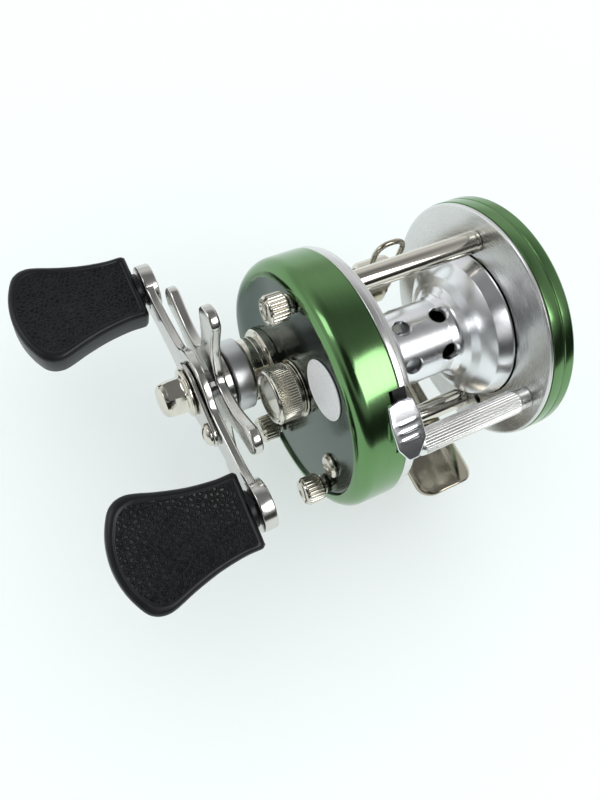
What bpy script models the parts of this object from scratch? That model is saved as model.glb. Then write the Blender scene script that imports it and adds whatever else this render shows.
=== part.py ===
"""Round baitcasting fishing reel, left-hand retrieve, at its real size.

Sizes are millimetres in the reel's own frame: X runs along the spool axis from the handle
side to the palm side, with zero at the inner face of the gear-side frame plate; Y points
forward to the line guide; Z points up, away from the foot. The finished model is in metres,
with its origin at the middle of the foot's underside, where it rests on the rod.
"""

import math

import bmesh
import bpy
from mathutils import Matrix, Vector

MM = 0.001
FIT = 0.1
PLAY = 0.3

# Frame plates and cross bars
PLATE_THICK = 2.8
PLATE_GAP = 31.1
PLATE_R = 26.0
PLATE_LIP_R = 26.5
OPENING_R = 16.7
BAR_R = 2.35
TOP_BAR = (9.1, 18.3)
THUMB_BAR = (-21.6, 4.0)
FRONT_BAR = (11.0, -17.1)
REAR_BAR = (-11.0, -17.1)

# Covers
COVER_R = 26.6
COVER_WALL = 1.2
COVER_BASE = -PLATE_THICK - FIT
COVER_RIM = -12.2
COVER_SHOULDER = 3.0
FACE_X = -11.6
FACE_R = 23.2
COVER_STEPS = 56
HUMP_ANGLE = math.radians(-18.0)
HUMP_SPREAD = math.radians(56.0)
FLOOR_X = FACE_X + COVER_WALL
PALM_LIP = 0.7
PALM_SEAT_R = COVER_R - COVER_WALL - FIT
PALM_BASE = PLATE_GAP + PALM_LIP + FIT
PALM_RIM = 37.6
PALM_END = 41.0

# Foot
FOOT_LENGTH = 58.0
FOOT_WIDTH = 14.3
FOOT_THICK = 1.2
FOOT_TOP = -19.75
FOOT_SAG = 2.0
FOOT_CORNER = 3.6
FOOT_X = 18.2
RIVET_X = 3.9
RIVET_R = 1.5
AXIS_HEIGHT = FOOT_THICK - FOOT_TOP

# Gear train: the drive shaft turns the spool's pinion and the line guide's worm
DRIVE_AXIS = (10.6, -8.0)
WORM_AXIS = (19.4, -2.0)
GEAR_TEETH = 50
PINION_TEETH = 10
LEVEL_TEETH = 24
WORM_TEETH = 20
DRIVE_REACH = math.dist(DRIVE_AXIS, (0, 0))
WORM_REACH = math.dist(DRIVE_AXIS, WORM_AXIS)
GEAR_MODULE = 2 * DRIVE_REACH / (GEAR_TEETH + PINION_TEETH)
LEVEL_MODULE = 2 * WORM_REACH / (LEVEL_TEETH + WORM_TEETH)
SHAFT_R = 2.6
SLEEVE_LIP_R = 8.2
STEM_R = 3.2
YOKE_REACH = 8.5

# Clutch button: the sector of the rim that it moves in, and the button itself
NOTCH = (121.0, 155.5)
NOTCH_R = 23.6
BUTTON = (128.0, 148.8)
BUTTON_R = (26.9, 28.0)

# Spool
SPOOL_MID = PLATE_GAP / 2
ARBOR_R = 8.3
FLANGE_R = 15.4
FLANGE_LIP_R = 16.3
SPOOL_SHAFT_R = 1.3

# Fittings on the gear-side face
THUMB_SCREWS = {"top": (9.0, 18.8), "rear": (-18.2, -11.0), "front": (0.5, -19.6)}
OIL_PORT = (-17.1, -2.8)
BADGE = (-7.1, 12.9)

# Handle
ARM_ANGLE = math.radians(-7.2)
KNOB_REACH = 29.2
ARM_X = (-27.5, -29.3)
BOSS_X = (-26.4, -29.4)
BOSS_R = 5.3
KNOB_X = -30.5
KNOB_LENGTH = 27.5
KNOB_THICK = 8.0
KNOB_ROLLS = (math.radians(5.0), math.radians(13.0))
STAR_R = 23.5
STAR_TURN = math.radians(7.0)
RETAINER_REACH = -11.0

for old in list(bpy.data.objects):
    bpy.data.objects.remove(old)

REEL = bpy.data.collections.new("baitcasting_reel")
CUTTERS = bpy.data.collections.new("cutters")
bpy.context.scene.collection.children.link(REEL)
bpy.context.scene.collection.children.link(CUTTERS)
CUTTERS.hide_render = True

# Local Z along the reel's X, local X along its Y, local Y along its Z
ALONG_X = Matrix(((0, 0, 1), (1, 0, 0), (0, 1, 0)))
UPRIGHT = Matrix.Identity(3)


def finish(name, colour, roughness, metallic):
    material = bpy.data.materials.new(name)
    material.use_nodes = True
    shader = material.node_tree.nodes["Principled BSDF"]
    shader.inputs["Base Color"].default_value = (*colour, 1.0)
    shader.inputs["Roughness"].default_value = roughness
    shader.inputs["Metallic"].default_value = metallic
    return material


GREEN = finish("green_anodised", (0.09, 0.22, 0.07), 0.20, 1.0)
SATIN = finish("satin_aluminium", (0.78, 0.79, 0.80), 0.32, 1.0)
BRIGHT = finish("bright_aluminium", (0.88, 0.89, 0.90), 0.15, 1.0)
NICKEL = finish("polished_nickel", (0.72, 0.70, 0.64), 0.12, 1.0)
CHROME = finish("chrome", (0.85, 0.86, 0.88), 0.08, 1.0)
BRASS = finish("brass", (0.72, 0.55, 0.25), 0.30, 1.0)
STEEL = finish("steel", (0.55, 0.56, 0.58), 0.30, 1.0)
CARBON = finish("carbon_washer", (0.04, 0.04, 0.04), 0.70, 0.0)
BLACK = finish("black_plastic", (0.02, 0.02, 0.022), 0.55, 0.0)
PLAIN = finish("badge_plastic", (0.75, 0.76, 0.77), 0.45, 0.0)


def placed(x, y, z):
    """A point of the reel's frame in the model's frame, in metres."""
    return Vector((x - FOOT_X, y, z + AXIS_HEIGHT)) * MM


def polar(radius, angle):
    return (radius * math.cos(angle), radius * math.sin(angle))


def add(name, mesh, material, axes, origin):
    """Links a mesh as a part or, with no material, as a cutter."""
    obj = bpy.data.objects.new(name, mesh)
    obj.matrix_world = Matrix.Translation(placed(*origin)) @ axes.to_4x4()
    if material:
        mesh.materials.append(material)
        REEL.objects.link(obj)
    else:
        CUTTERS.objects.link(obj)
        obj.hide_render = True
        obj.display_type = "WIRE"
    return obj


def turned(name, outline, material, steps=24, yz=(0.0, 0.0), ring=False, axes=ALONG_X, x=0.0):
    """A turned piece. The outline is (height, radius) with its outer side running downwards."""
    points = [(radius * MM, 0, height * MM) for height, radius in outline]
    edges = [(i, i + 1) for i in range(len(points) - 1)]
    if ring:
        edges.append((len(points) - 1, 0))
    mesh = bpy.data.meshes.new(name)
    mesh.from_pydata(points, edges, [])
    obj = add(name, mesh, material, axes, (x, *yz))
    screw = obj.modifiers.new("turn", "SCREW")
    screw.axis = "Z"
    screw.steps = steps
    screw.render_steps = steps
    screw.use_merge_vertices = True
    screw.merge_threshold = 0.000001
    screw.use_smooth_shade = True
    return obj


def rod(name, high, low, radius, material, steps=16, yz=(0.0, 0.0), edge=0.2):
    """A solid round bar along X with chamfered ends."""
    outline = [
        (high, 0),
        (high, radius - edge),
        (high - edge, radius),
        (low + edge, radius),
        (low, radius - edge),
        (low, 0),
    ]
    return turned(name, outline, material, steps, yz)


def washer(name, high, low, outer, inner, material, steps=24, yz=(0.0, 0.0), edge=0.15):
    """A round ring along X with chamfered outer corners."""
    outline = [
        (high, inner),
        (high, outer - edge),
        (high - edge, outer),
        (low + edge, outer),
        (low, outer - edge),
        (low, inner),
    ]
    return turned(name, outline, material, steps, yz, ring=True)


def from_curve(name, curve, material, axes, origin):
    """The closed mesh of a curve, as an object of its own."""
    guide = bpy.data.objects.new(name + "_guide", curve)
    CUTTERS.objects.link(guide)
    graph = bpy.context.evaluated_depsgraph_get()
    mesh = bpy.data.meshes.new_from_object(guide.evaluated_get(graph))
    bpy.data.objects.remove(guide)
    bpy.data.curves.remove(curve)
    shape = bmesh.new()
    shape.from_mesh(mesh)
    bmesh.ops.remove_doubles(shape, verts=shape.verts, dist=0.000001)
    bmesh.ops.recalc_face_normals(shape, faces=shape.faces)
    shape.to_mesh(mesh)
    shape.free()
    mesh.name = name
    mesh.materials.clear()
    mesh.shade_smooth()
    mesh.set_sharp_from_angle(angle=math.radians(35))
    return add(name, mesh, material, axes, origin)


def plate(name, outlines, high, low, material, yz=(0.0, 0.0), turn=0.0):
    """A flat plate across X, from an outer outline and any holes, turned about X."""
    axes = Matrix.Rotation(turn, 3, "X") @ ALONG_X
    origin = ((high + low) / 2, *yz)
    return prism(name, outlines, high - low, material, axes, origin)


def prism(name, outlines, thickness, material, axes, origin):
    """A slab of constant outline, centred on its origin."""
    curve = bpy.data.curves.new(name, "CURVE")
    curve.dimensions = "2D"
    curve.fill_mode = "BOTH"
    curve.extrude = thickness * MM / 2
    for outline in outlines:
        spline = curve.splines.new("POLY")
        spline.points.add(len(outline) - 1)
        for point, (u, v) in zip(spline.points, outline):
            point.co = (u * MM, v * MM, 0, 1)
        spline.use_cyclic_u = True
    return from_curve(name, curve, material, axes, origin)


def wire(name, points, radius, material, cyclic=False):
    """A round wire along points of the reel's frame."""
    curve = bpy.data.curves.new(name, "CURVE")
    curve.dimensions = "3D"
    curve.bevel_depth = radius * MM
    curve.bevel_resolution = 2
    curve.use_fill_caps = True
    spline = curve.splines.new("POLY")
    spline.points.add(len(points) - 1)
    start = Vector(points[0])
    for point, position in zip(spline.points, points):
        point.co = (*((Vector(position) - start) * MM), 1)
    spline.use_cyclic_u = cyclic
    return from_curve(name, curve, material, UPRIGHT, points[0])


def block(name, low, high, material, edge=0.0):
    """A box between two corners, with its edges eased."""
    middle = [(a + b) / 2 for a, b in zip(low, high)]
    size = [(b - a) * MM for a, b in zip(low, high)]
    shape = bmesh.new()
    bmesh.ops.create_cube(shape, size=1.0, matrix=Matrix.Diagonal((*size, 1.0)))
    mesh = bpy.data.meshes.new(name)
    shape.to_mesh(mesh)
    shape.free()
    obj = add(name, mesh, material, UPRIGHT, middle)
    if edge:
        ease(obj, edge)
    return obj


def ease(obj, width, segments=1):
    bevel = obj.modifiers.new("eased", "BEVEL")
    bevel.width = width * MM
    bevel.segments = segments
    bevel.limit_method = "ANGLE"
    bevel.angle_limit = math.radians(40)


def combine(obj, other, operation="DIFFERENCE"):
    change = obj.modifiers.new(other.name, "BOOLEAN")
    change.operation = operation
    change.solver = "EXACT"
    change.object = other
    return obj


def drill(obj, high, low, radius, yz=(0.0, 0.0), steps=16):
    """Bores a round hole along X."""
    tool = rod(f"{obj.name}_hole_{len(obj.modifiers)}", high, low, radius, None, steps, yz, 0.01)
    return combine(obj, tool)


def arc(centre, radius, start, end, count):
    """Points along an arc, angles in degrees."""
    angles = [math.radians(start + (end - start) * i / (count - 1)) for i in range(count)]
    return [(centre[0] + radius * math.cos(a), centre[1] + radius * math.sin(a)) for a in angles]


def circle(radius, count=24, centre=(0.0, 0.0)):
    return arc(centre, radius, 0, 360 * (count - 1) / count, count)


def sector(inner, outer, start, end, count=8):
    """The outline of part of a ring, angles in degrees."""
    return arc((0, 0), outer, start, end, count) + arc((0, 0), inner, end, start, count)


def gear(name, teeth, module, phase, high, low, bore, material, yz=(0.0, 0.0)):
    """A spur gear. Its teeth are thinned a little for backlash."""
    pitch = module * teeth / 2
    half = math.pi / teeth / 2 * 0.86
    tip, root = pitch + 0.72 * module, pitch - 1.05 * module
    outline = []
    for tooth in range(teeth):
        middle = phase + 2 * math.pi * tooth / teeth
        for radius, share in ((root, -1.45), (tip, -0.48), (tip, 0.48), (root, 1.45)):
            outline.append(polar(radius, middle + share * half))
    return plate(name, [outline, circle(bore)], high, low, material, yz)


def frame_plates():
    """Two plates with stepped rims, and the opening that each spool flange sits in."""
    edge = 0.4
    near = [
        (0, OPENING_R),
        (0, PLATE_R - edge),
        (-edge, PLATE_R),
        (-1.1, PLATE_R),
        (-1.25, PLATE_LIP_R),
        (-PLATE_THICK, PLATE_LIP_R),
        (-PLATE_THICK, OPENING_R),
    ]
    gear_side = turned("gear_side_frame", near, SATIN, 48, ring=True)
    notch(gear_side)
    for yz in THUMB_SCREWS.values():
        drill(gear_side, 1, -4, 1.3, yz, 12)
    rim = PLATE_GAP + PALM_LIP
    far = [
        (PLATE_GAP + PLATE_THICK, OPENING_R),
        (PLATE_GAP + PLATE_THICK, PALM_SEAT_R),
        (rim, PALM_SEAT_R),
        (rim, PLATE_LIP_R),
        (PLATE_GAP + 0.2, PLATE_LIP_R),
        (PLATE_GAP, PLATE_LIP_R - 0.3),
        (PLATE_GAP, OPENING_R),
    ]
    palm_side = turned("palm_side_frame", far, SATIN, 48, ring=True)
    drill(palm_side, PLATE_GAP + 5, PLATE_GAP - 1, 1.1, (-14.2, -12.1), 12)
    drill(gear_side, 1, -4, 1.7, WORM_AXIS, 16)
    drill(palm_side, PLATE_GAP + 4, PLATE_GAP - 1, 1.7, WORM_AXIS, 16)


def notch(obj):
    """Cuts the notch in the rim that the clutch button moves in."""
    tool = plate(obj.name + "_notch", [sector(NOTCH_R, 30, *NOTCH)], 0.6, -5.0, None)
    return combine(obj, tool)


def bars():
    """Cross bars that hold the two plates apart. The rear one is a thumb rest."""
    high, low = PLATE_GAP - FIT, FIT
    rod("top_pillar", high, low, BAR_R, NICKEL, 16, TOP_BAR, edge=0.25)
    rod("front_pillar", high, low, BAR_R, NICKEL, 16, FRONT_BAR, edge=0.25)
    rod("rear_pillar", high, low, BAR_R, NICKEL, 16, REAR_BAR, edge=0.25)
    neck, body = 2.3, 2.6
    outline = [
        (high, 0),
        (high, neck),
        (28.2, neck),
        (28.0, body),
        (4.2, body),
        (4.0, neck),
        (low, neck),
        (low, 0),
    ]
    turned("thumb_rest_pillar", outline, BRIGHT, 16, THUMB_BAR)


def foot():
    """The stamped foot, arched across its width and riveted to the two lower bars."""
    half = FOOT_WIDTH / 2
    shares = (-1.0, -0.85, -0.6, -0.3, 0.3, 0.6, 0.85, 1.0)
    top = [(share * half, -foot_drop(share * half)) for share in shares]
    under = [(u, v - FOOT_THICK) for u, v in reversed(top)]
    along_y = Matrix(((-1, 0, 0), (0, 0, 1), (0, 1, 0)))
    strip = prism("reel_foot", [top + under], FOOT_LENGTH, NICKEL, along_y, (FOOT_X, 0, FOOT_TOP))
    corner = FOOT_CORNER
    far, wide = FOOT_LENGTH / 2 - corner, half - corner
    ends = arc((wide, far), corner, 0, 90, 6) + arc((-wide, far), corner, 90, 180, 6)
    ends += arc((-wide, -far), corner, 180, 270, 6) + arc((wide, -far), corner, 270, 360, 6)
    stamp = prism("foot_stamp", [ends], 12, None, UPRIGHT, (FOOT_X, 0, FOOT_TOP))
    combine(strip, stamp, "INTERSECT")
    places = [(side * RIVET_X, bar[0]) for bar in (FRONT_BAR, REAR_BAR) for side in (-1, 1)]
    for number, (u, y) in enumerate(places, 1):
        seat = FOOT_TOP - FOOT_THICK - foot_drop(abs(u) + RIVET_R) - FIT
        rivet(f"foot_rivet_{number}", FOOT_X + u, y, seat, strip)


def foot_drop(u):
    """How far the arch has dropped at a distance from the foot's middle."""
    return FOOT_SAG * max(0.0, (2 * u / FOOT_WIDTH) ** 2 - 0.09)


def rivet(name, x, y, seat, strip):
    """A rivet set from below: its shank passes the foot and its low head is under it."""
    hole = prism(name + "_hole", [circle(1.1, 12)], 8, None, UPRIGHT, (x, y, seat))
    combine(strip, hole)
    outline = [
        (FOOT_TOP + 0.15, 0),
        (FOOT_TOP + 0.15, 0.95),
        (seat, 0.95),
        (seat, RIVET_R),
        (seat - 0.5, 1.0),
        (seat - 0.5, 0),
    ]
    turned(name, outline, STEEL, 12, (y, 0), axes=UPRIGHT, x=x)


def gear_cover():
    """The green cup over the gears, open towards the frame, with a recessed face.

    Towards the front and below, the face rises in a smooth hump that hides its rim.
    """
    centre = (COVER_RIM + COVER_SHOULDER, COVER_R - COVER_SHOULDER)
    outline = [(COVER_BASE, COVER_R)]
    for degrees in (0, 20, 40, 60, 80, 90):
        height, radius = polar(COVER_SHOULDER, math.radians(degrees + 90))
        outline.append((centre[0] + height, centre[1] + radius))
    outline += [(COVER_RIM, FACE_R + 0.2), (FACE_X, FACE_R), (FACE_X, 20.2), (FACE_X, 17.6)]
    hump = [outline[0], (-9.6, COVER_R), (-11.9, 26.5), (-12.6, 26.1), (-13.1, 25.5), (-13.35, 24.8)]
    hump += [(-13.4, 24.3), (-13.4, 23.2), (-13.25, 21.8), (-12.95, 20.2), (-12.45, 17.6)]
    inside = [
        (FACE_X, 13.0),
        (FACE_X, 4.9),
        (FLOOR_X, 4.9),
        (FLOOR_X, FACE_R - 1.4),
        (COVER_RIM + COVER_SHOULDER, COVER_R - COVER_WALL),
        (COVER_BASE, COVER_R - COVER_WALL),
    ]
    rings = []
    for number in range(COVER_STEPS):
        angle = 2 * math.pi * number / COVER_STEPS
        off = abs((angle - HUMP_ANGLE + math.pi) % (2 * math.pi) - math.pi) / HUMP_SPREAD
        share = math.cos(min(off, 1.0) * math.pi / 2) ** 2
        shape = [
            (low[0] + (high[0] - low[0]) * share, low[1] + (high[1] - low[1]) * share)
            for low, high in zip(outline, hump)
        ]
        rings.append([(angle, *point) for point in shape + inside])
    cover = swept("gear_side_cover", rings, GREEN)
    notch(cover)
    drill(cover, -3, FACE_X - 3, 7.0, DRIVE_AXIS, 24)
    drill(cover, FACE_X, FACE_X - 3, SLEEVE_LIP_R + FIT, DRIVE_AXIS, 32)
    for yz in THUMB_SCREWS.values():
        drill(cover, -3, FACE_X - 2, 1.4, yz, 12)
    drill(cover, -3, FACE_X - 2, 1.5, OIL_PORT, 12)


def swept(name, rings, material):
    """A closed ring from one loop of (angle, x, radius) points for each step about X."""
    points = [(r * math.cos(a) * MM, r * math.sin(a) * MM, x * MM) for ring in rings for a, x, r in ring]
    count, total = len(rings[0]), len(points)
    faces = []
    for step in range(len(rings)):
        for i in range(count):
            near, far = step * count + i, step * count + (i + 1) % count
            faces.append((near, (near + count) % total, (far + count) % total, far))
    mesh = bpy.data.meshes.new(name)
    mesh.from_pydata(points, [], faces)
    shape = bmesh.new()
    shape.from_mesh(mesh)
    bmesh.ops.recalc_face_normals(shape, faces=shape.faces)
    shape.to_mesh(mesh)
    shape.free()
    mesh.shade_smooth()
    mesh.set_sharp_from_angle(angle=math.radians(35))
    return add(name, mesh, material, ALONG_X, (0, 0, 0))


def face_fittings():
    """Oil port, blank badge, tension barrel and drive sleeve on the gear-side face."""
    x = FACE_X - FIT
    port = [
        (FLOOR_X, 0),
        (FLOOR_X, 1.4),
        (x, 1.4),
        (x, 2.6),
        (x - 0.6, 2.5),
        (x - 1.0, 2.0),
        (x - 1.0, 1.0),
        (x - 0.5, 0.4),
        (x - 0.5, 0),
    ]
    turned("oil_port_cap", port, CHROME, 14, OIL_PORT)
    rod("blank_badge", x, x - 0.3, 6.1, PLAIN, 24, BADGE, edge=0.08)
    barrel = [
        (FLOOR_X + 0.2, 3.4),
        (FLOOR_X + 0.2, 4.6),
        (x, 4.6),
        (x, 6.2),
        (x - 0.3, 6.2),
        (x - 0.3, 4.6),
        (-14.4, 4.6),
        (-14.4, 3.4),
    ]
    turned("tension_barrel", barrel, NICKEL, 20, ring=True)
    sleeve = [
        (-9.9, STEM_R + FIT),
        (-9.9, 6.8),
        (x, 6.8),
        (x, SLEEVE_LIP_R),
        (-13.5, SLEEVE_LIP_R),
        (-13.8, 7.9),
        (-13.8, 6.9),
        (-17.6, 6.9),
        (-17.8, 6.7),
        (-17.8, STEM_R + FIT),
    ]
    sleeve = turned("drive_sleeve", sleeve, NICKEL, 24, DRIVE_AXIS, ring=True)
    drill(sleeve, FACE_X, -15, 6.5, steps=24)


def cast_control():
    """The cap that sets the spool's end play, hollow over the tension barrel."""
    back, front = -12.2, -18.0
    outline = [
        (front + 1.9, 0),
        (front + 1.9, 5.0),
        (back, 5.0),
        (back, 5.7),
        (back - 0.2, 5.9),
        (front + 0.3, 5.9),
        (front, 5.5),
        (front, 4.7),
        (front + 0.6, 4.1),
        (front + 0.6, 0),
    ]
    turned("cast_control_cap", outline, NICKEL, 24)


def thumb_screws():
    """Three hand screws that hold the gear-side cover to the frame."""
    for name, yz in THUMB_SCREWS.items():
        neck = FACE_X - 0.3
        outline = [
            (-1.2, 0),
            (-1.2, 0.9),
            (-1.5, 1.1),
            (neck, 1.1),
            (neck, 2.0),
            (neck - 1.1, 2.0),
            (neck - 1.2, 3.0),
            (neck - 4.9, 3.0),
            (neck - 5.2, 2.7),
            (neck - 5.2, 1.6),
            (neck - 4.7, 1.1),
            (neck - 4.7, 0),
        ]
        turned(f"thumb_screw_{name}", outline, NICKEL, 14, yz)


def palm_cover():
    """The green cover on the palm side: low dome, and the far bearing's seat."""
    outline = [
        (PALM_END, 0),
        (PALM_END, 17.5),
        (PALM_END - 0.8, 20.4),
        (PALM_RIM + 0.4, 23.8),
        (PALM_RIM, 24.6),
        (PALM_RIM, 25.4),
        (PALM_RIM - 0.4, 26.2),
        (PALM_RIM - 0.9, COVER_R),
        (PALM_BASE, COVER_R),
        (PALM_BASE, COVER_R - COVER_WALL),
        (PALM_RIM - 1.4, COVER_R - COVER_WALL),
        (PALM_RIM - 0.8, 22.4),
        (PALM_END - 1.5, 17.0),
        (PALM_END - 1.5, 5.6),
        (35.4, 5.6),
        (35.4, 4.0),
        (38.4, 4.0),
        (38.4, 0),
    ]
    turned("palm_side_cover", outline, GREEN, 48)
    washer("palm_side_bearing", 38.1, 35.8, 3.9, SPOOL_SHAFT_R + FIT, STEEL, 16)
    drum = [(36.4, 5.7), (36.4, 10.2), (31.9, 10.2), (31.9, 9.4), (35.7, 9.4), (35.7, 5.7)]
    turned("brake_drum", drum, BRASS, 24, ring=True)


def spool():
    """The line spool: a drilled arbor between two dished flanges."""
    half = [
        (12.4, 11.0),
        (15.2, 13.2),
        (15.35, FLANGE_LIP_R),
        (14.9, FLANGE_LIP_R),
        (11.95, FLANGE_R),
        (10.2, 12.5),
        (9.7, 12.4),
        (9.4, 10.6),
        (8.0, 8.9),
        (6.0, ARBOR_R),
    ]
    outer = [(SPOOL_MID + x, r) for x, r in half] + [(SPOOL_MID - x, r) for x, r in reversed(half)]
    bore, web, hub = 7.2, 1.0, 3.0
    seat = SPOOL_SHAFT_R + FIT
    inner = [(-8.2, bore), (-web, bore), (-web, hub), (-9.0, hub), (-9.0, seat)]
    inner = [(SPOOL_MID + x, r) for x, r in inner] + [
        (SPOOL_MID - x, r) for x, r in reversed(inner)
    ]
    body = turned("spool", outer + inner, BRIGHT, 36, ring=True)
    for x in (11.8, 20.8):
        for number in range(6):
            arbor_hole(body, x, math.radians(84 + 60 * number))


def arbor_hole(body, x, angle):
    """One of the lightening holes through the arbor's wall."""
    outward = Vector((0, *polar(1, angle)))
    side = Vector((1, 0, 0)).cross(outward)
    axes = Matrix((side, outward.cross(side), outward)).transposed()
    name = f"{body.name}_hole_{len(body.modifiers)}"
    tool = prism(name, [circle(1.9, 8)], 2.6, None, axes, (x, *polar(7.9, angle)))
    combine(body, tool)


def spool_shaft():
    """The spool's shaft, and the brake bar and sliding blocks that turn with it."""
    rod("spool_shaft", 38.0, -13.8, SPOOL_SHAFT_R, STEEL, 16, edge=0.3)
    bar = arc((7.0, 0), 0.7, -90, 90, 5) + arc((-7.0, 0), 0.7, 90, 270, 5)
    carrier = plate("brake_bar", [bar], 33.6, 32.4, STEEL)
    combine(carrier, rod("brake_bar_hub", 33.9, 32.1, 2.4, None, 16), "UNION")
    drill(carrier, 35, 31, SPOOL_SHAFT_R + FIT)
    for name, side in (("brake_block_1", 1), ("brake_block_2", -1)):
        low, high = sorted((side * 4.6, side * 6.8))
        shoe = block(name, (31.95, low, -1.7), (34.05, high, 1.7), BLACK, 0.3)
        slot = block(name + "_slot", (32.3, low - 1, -0.8), (33.7, high + 1, 0.8), None)
        combine(shoe, slot)


def clutch():
    """Pinion, yoke, cam and the button on the rim that works them."""
    drive_angle = math.atan2(DRIVE_AXIS[1], DRIVE_AXIS[0])
    phase = drive_angle + math.pi + math.pi / PINION_TEETH
    bore = SPOOL_SHAFT_R + FIT
    pinion = gear("pinion", PINION_TEETH, GEAR_MODULE, phase, -5.45, -9.4, bore, BRASS)
    neck = [
        (-2.0, 0),
        (-2.0, 2.2),
        (-4.1, 2.2),
        (-4.2, 1.7),
        (-5.55, 1.7),
        (-5.55, 0),
    ]
    combine(pinion, turned("pinion_neck", neck, None, 20), "UNION")
    drill(pinion, 1, -12, bore)
    across = drive_angle + math.pi / 2
    end = YOKE_REACH
    outline = arc((end, 0), 2.2, -90, 90, 7) + [(3.0, 3.6), (-3.0, 3.6)]
    outline += arc((-end, 0), 2.2, 90, 270, 7) + [(-3.0, -3.6), (3.0, -3.6)]
    posts = [circle(1.0, 10, (side * end, 0)) for side in (1, -1)]
    yoke = plate("pinion_yoke", [outline, *posts], -4.4, -5.2, STEEL, turn=across)
    mouth = arc((0, 0), 1.95, 180, 360, 9) + [(1.95, 6.0), (-1.95, 6.0)]
    combine(yoke, plate("yoke_mouth", [mouth], -4.0, -5.6, None, turn=across))
    for name, side in (("yoke_post_upper", 1), ("yoke_post_lower", -1)):
        rod(name, -2.9, -10.3, 0.8, STEEL, 10, polar(side * end, across), edge=0.1)
    arm = sector(5.6, NOTCH_R, 137.5, 143.5, 4)
    cam = washer("clutch_cam", -3.2, -3.8, 6.2, 2.7, STEEL, 20)
    combine(cam, plate("clutch_cam_arm", [arm], -3.25, -3.75, None), "UNION")
    button = plate("clutch_button", [sector(*BUTTON_R, *BUTTON, 12)], 0.1, -6.3, CHROME)
    middle, reach = math.radians(140.5), 29.0
    trim = [(-2.9, 5.4), (-0.5, 5.9), (2.6, 5.4), (3.2, 2.4), (3.4, -2.4), (1.2, -5.6)]
    trim += [(-1.2, -5.6), (-2.9, -3.0), (-3.3, 1.4)]
    outward = Vector((0, *polar(1, middle)))
    axes = Matrix((Vector((1, 0, 0)), outward.cross(Vector((1, 0, 0))), outward)).transposed()
    tool = prism("button_trim", [trim], 8, None, axes, (-3.0, *polar(reach, middle)))
    combine(button, tool, "INTERSECT")
    stem = plate("button_stem", [sector(NOTCH_R + PLAY, 27.2, 134.5, 145.0, 6)], -1.4, -4.4, None)
    combine(button, stem, "UNION")


def anti_reverse():
    """Bridge plate inside the frame's opening, with the dog and the kick lever on it."""
    bridge = plate("bridge_plate", [circle(OPENING_R - FIT, 48)], -1.5, -2.7, STEEL)
    drill(bridge, 1, -4, 2.4)
    drill(bridge, 1, -4, 2.15, DRIVE_AXIS, 20)
    lever("kick_lever", (-1.5, -13.5), (3.2, -10.8), bridge)
    lever("anti_reverse_dog", (18.6, -14.5), (12.6, -15.3), None)


def lever(name, pivot, tip, bridge):
    """A small tapered lever in the ratchet's plane, on a bored pivot."""
    length, turn = math.dist(pivot, tip), math.atan2(tip[1] - pivot[1], tip[0] - pivot[0])
    outline = arc((0, 0), 1.3, 90, 270, 9) + arc((length, 0), 0.65, -90, 90, 7)
    plate(name, [outline, circle(0.7, 12)], -4.6, -5.4, STEEL, pivot, turn)


def drive_train():
    """Drive shaft with its gears, drag stack and ratchet."""
    shaft = [
        (-1.6, 0),
        (-1.6, 2.0),
        (-2.9, 2.0),
        (-2.9, SHAFT_R),
        (-9.6, SHAFT_R),
        (-9.7, STEM_R),
        (-27.1, STEM_R),
        (-27.2, SHAFT_R),
        (-34.4, SHAFT_R),
        (-34.7, SHAFT_R - 0.3),
        (-34.7, 0),
    ]
    turned("drive_shaft", shaft, STEEL, 20, DRIVE_AXIS)
    bore = SHAFT_R + FIT
    meet_pinion = math.atan2(-DRIVE_AXIS[1], -DRIVE_AXIS[0])
    meet_worm = math.atan2(WORM_AXIS[1] - DRIVE_AXIS[1], WORM_AXIS[0] - DRIVE_AXIS[0])
    main_gear = gear(
        "main_gear", GEAR_TEETH, GEAR_MODULE, meet_pinion, -6.6, -8.6, bore, BRASS, DRIVE_AXIS
    )
    drill(main_gear, -7.5, -9.5, 9.0, DRIVE_AXIS, 24)
    washer("drag_washer", -7.6, -8.2, 8.8, bore, CARBON, 20, DRIVE_AXIS, 0.1)
    washer("drag_pressure_plate", -8.3, -9.4, 8.6, bore, STEEL, 20, DRIVE_AXIS)
    gear(
        "level_wind_gear", LEVEL_TEETH, LEVEL_MODULE, meet_worm, -3.2, -4.3, bore, BLACK, DRIVE_AXIS
    )
    teeth, outline = 10, []
    for tooth in range(teeth):
        start = math.radians(-72.8 + 6) + 2 * math.pi * tooth / teeth
        outline += [polar(4.9, start), polar(6.0, start + 0.02), polar(5.3, start + 0.33)]
    plate("ratchet", [outline, circle(bore)], -4.6, -5.4, STEEL, DRIVE_AXIS)


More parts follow.
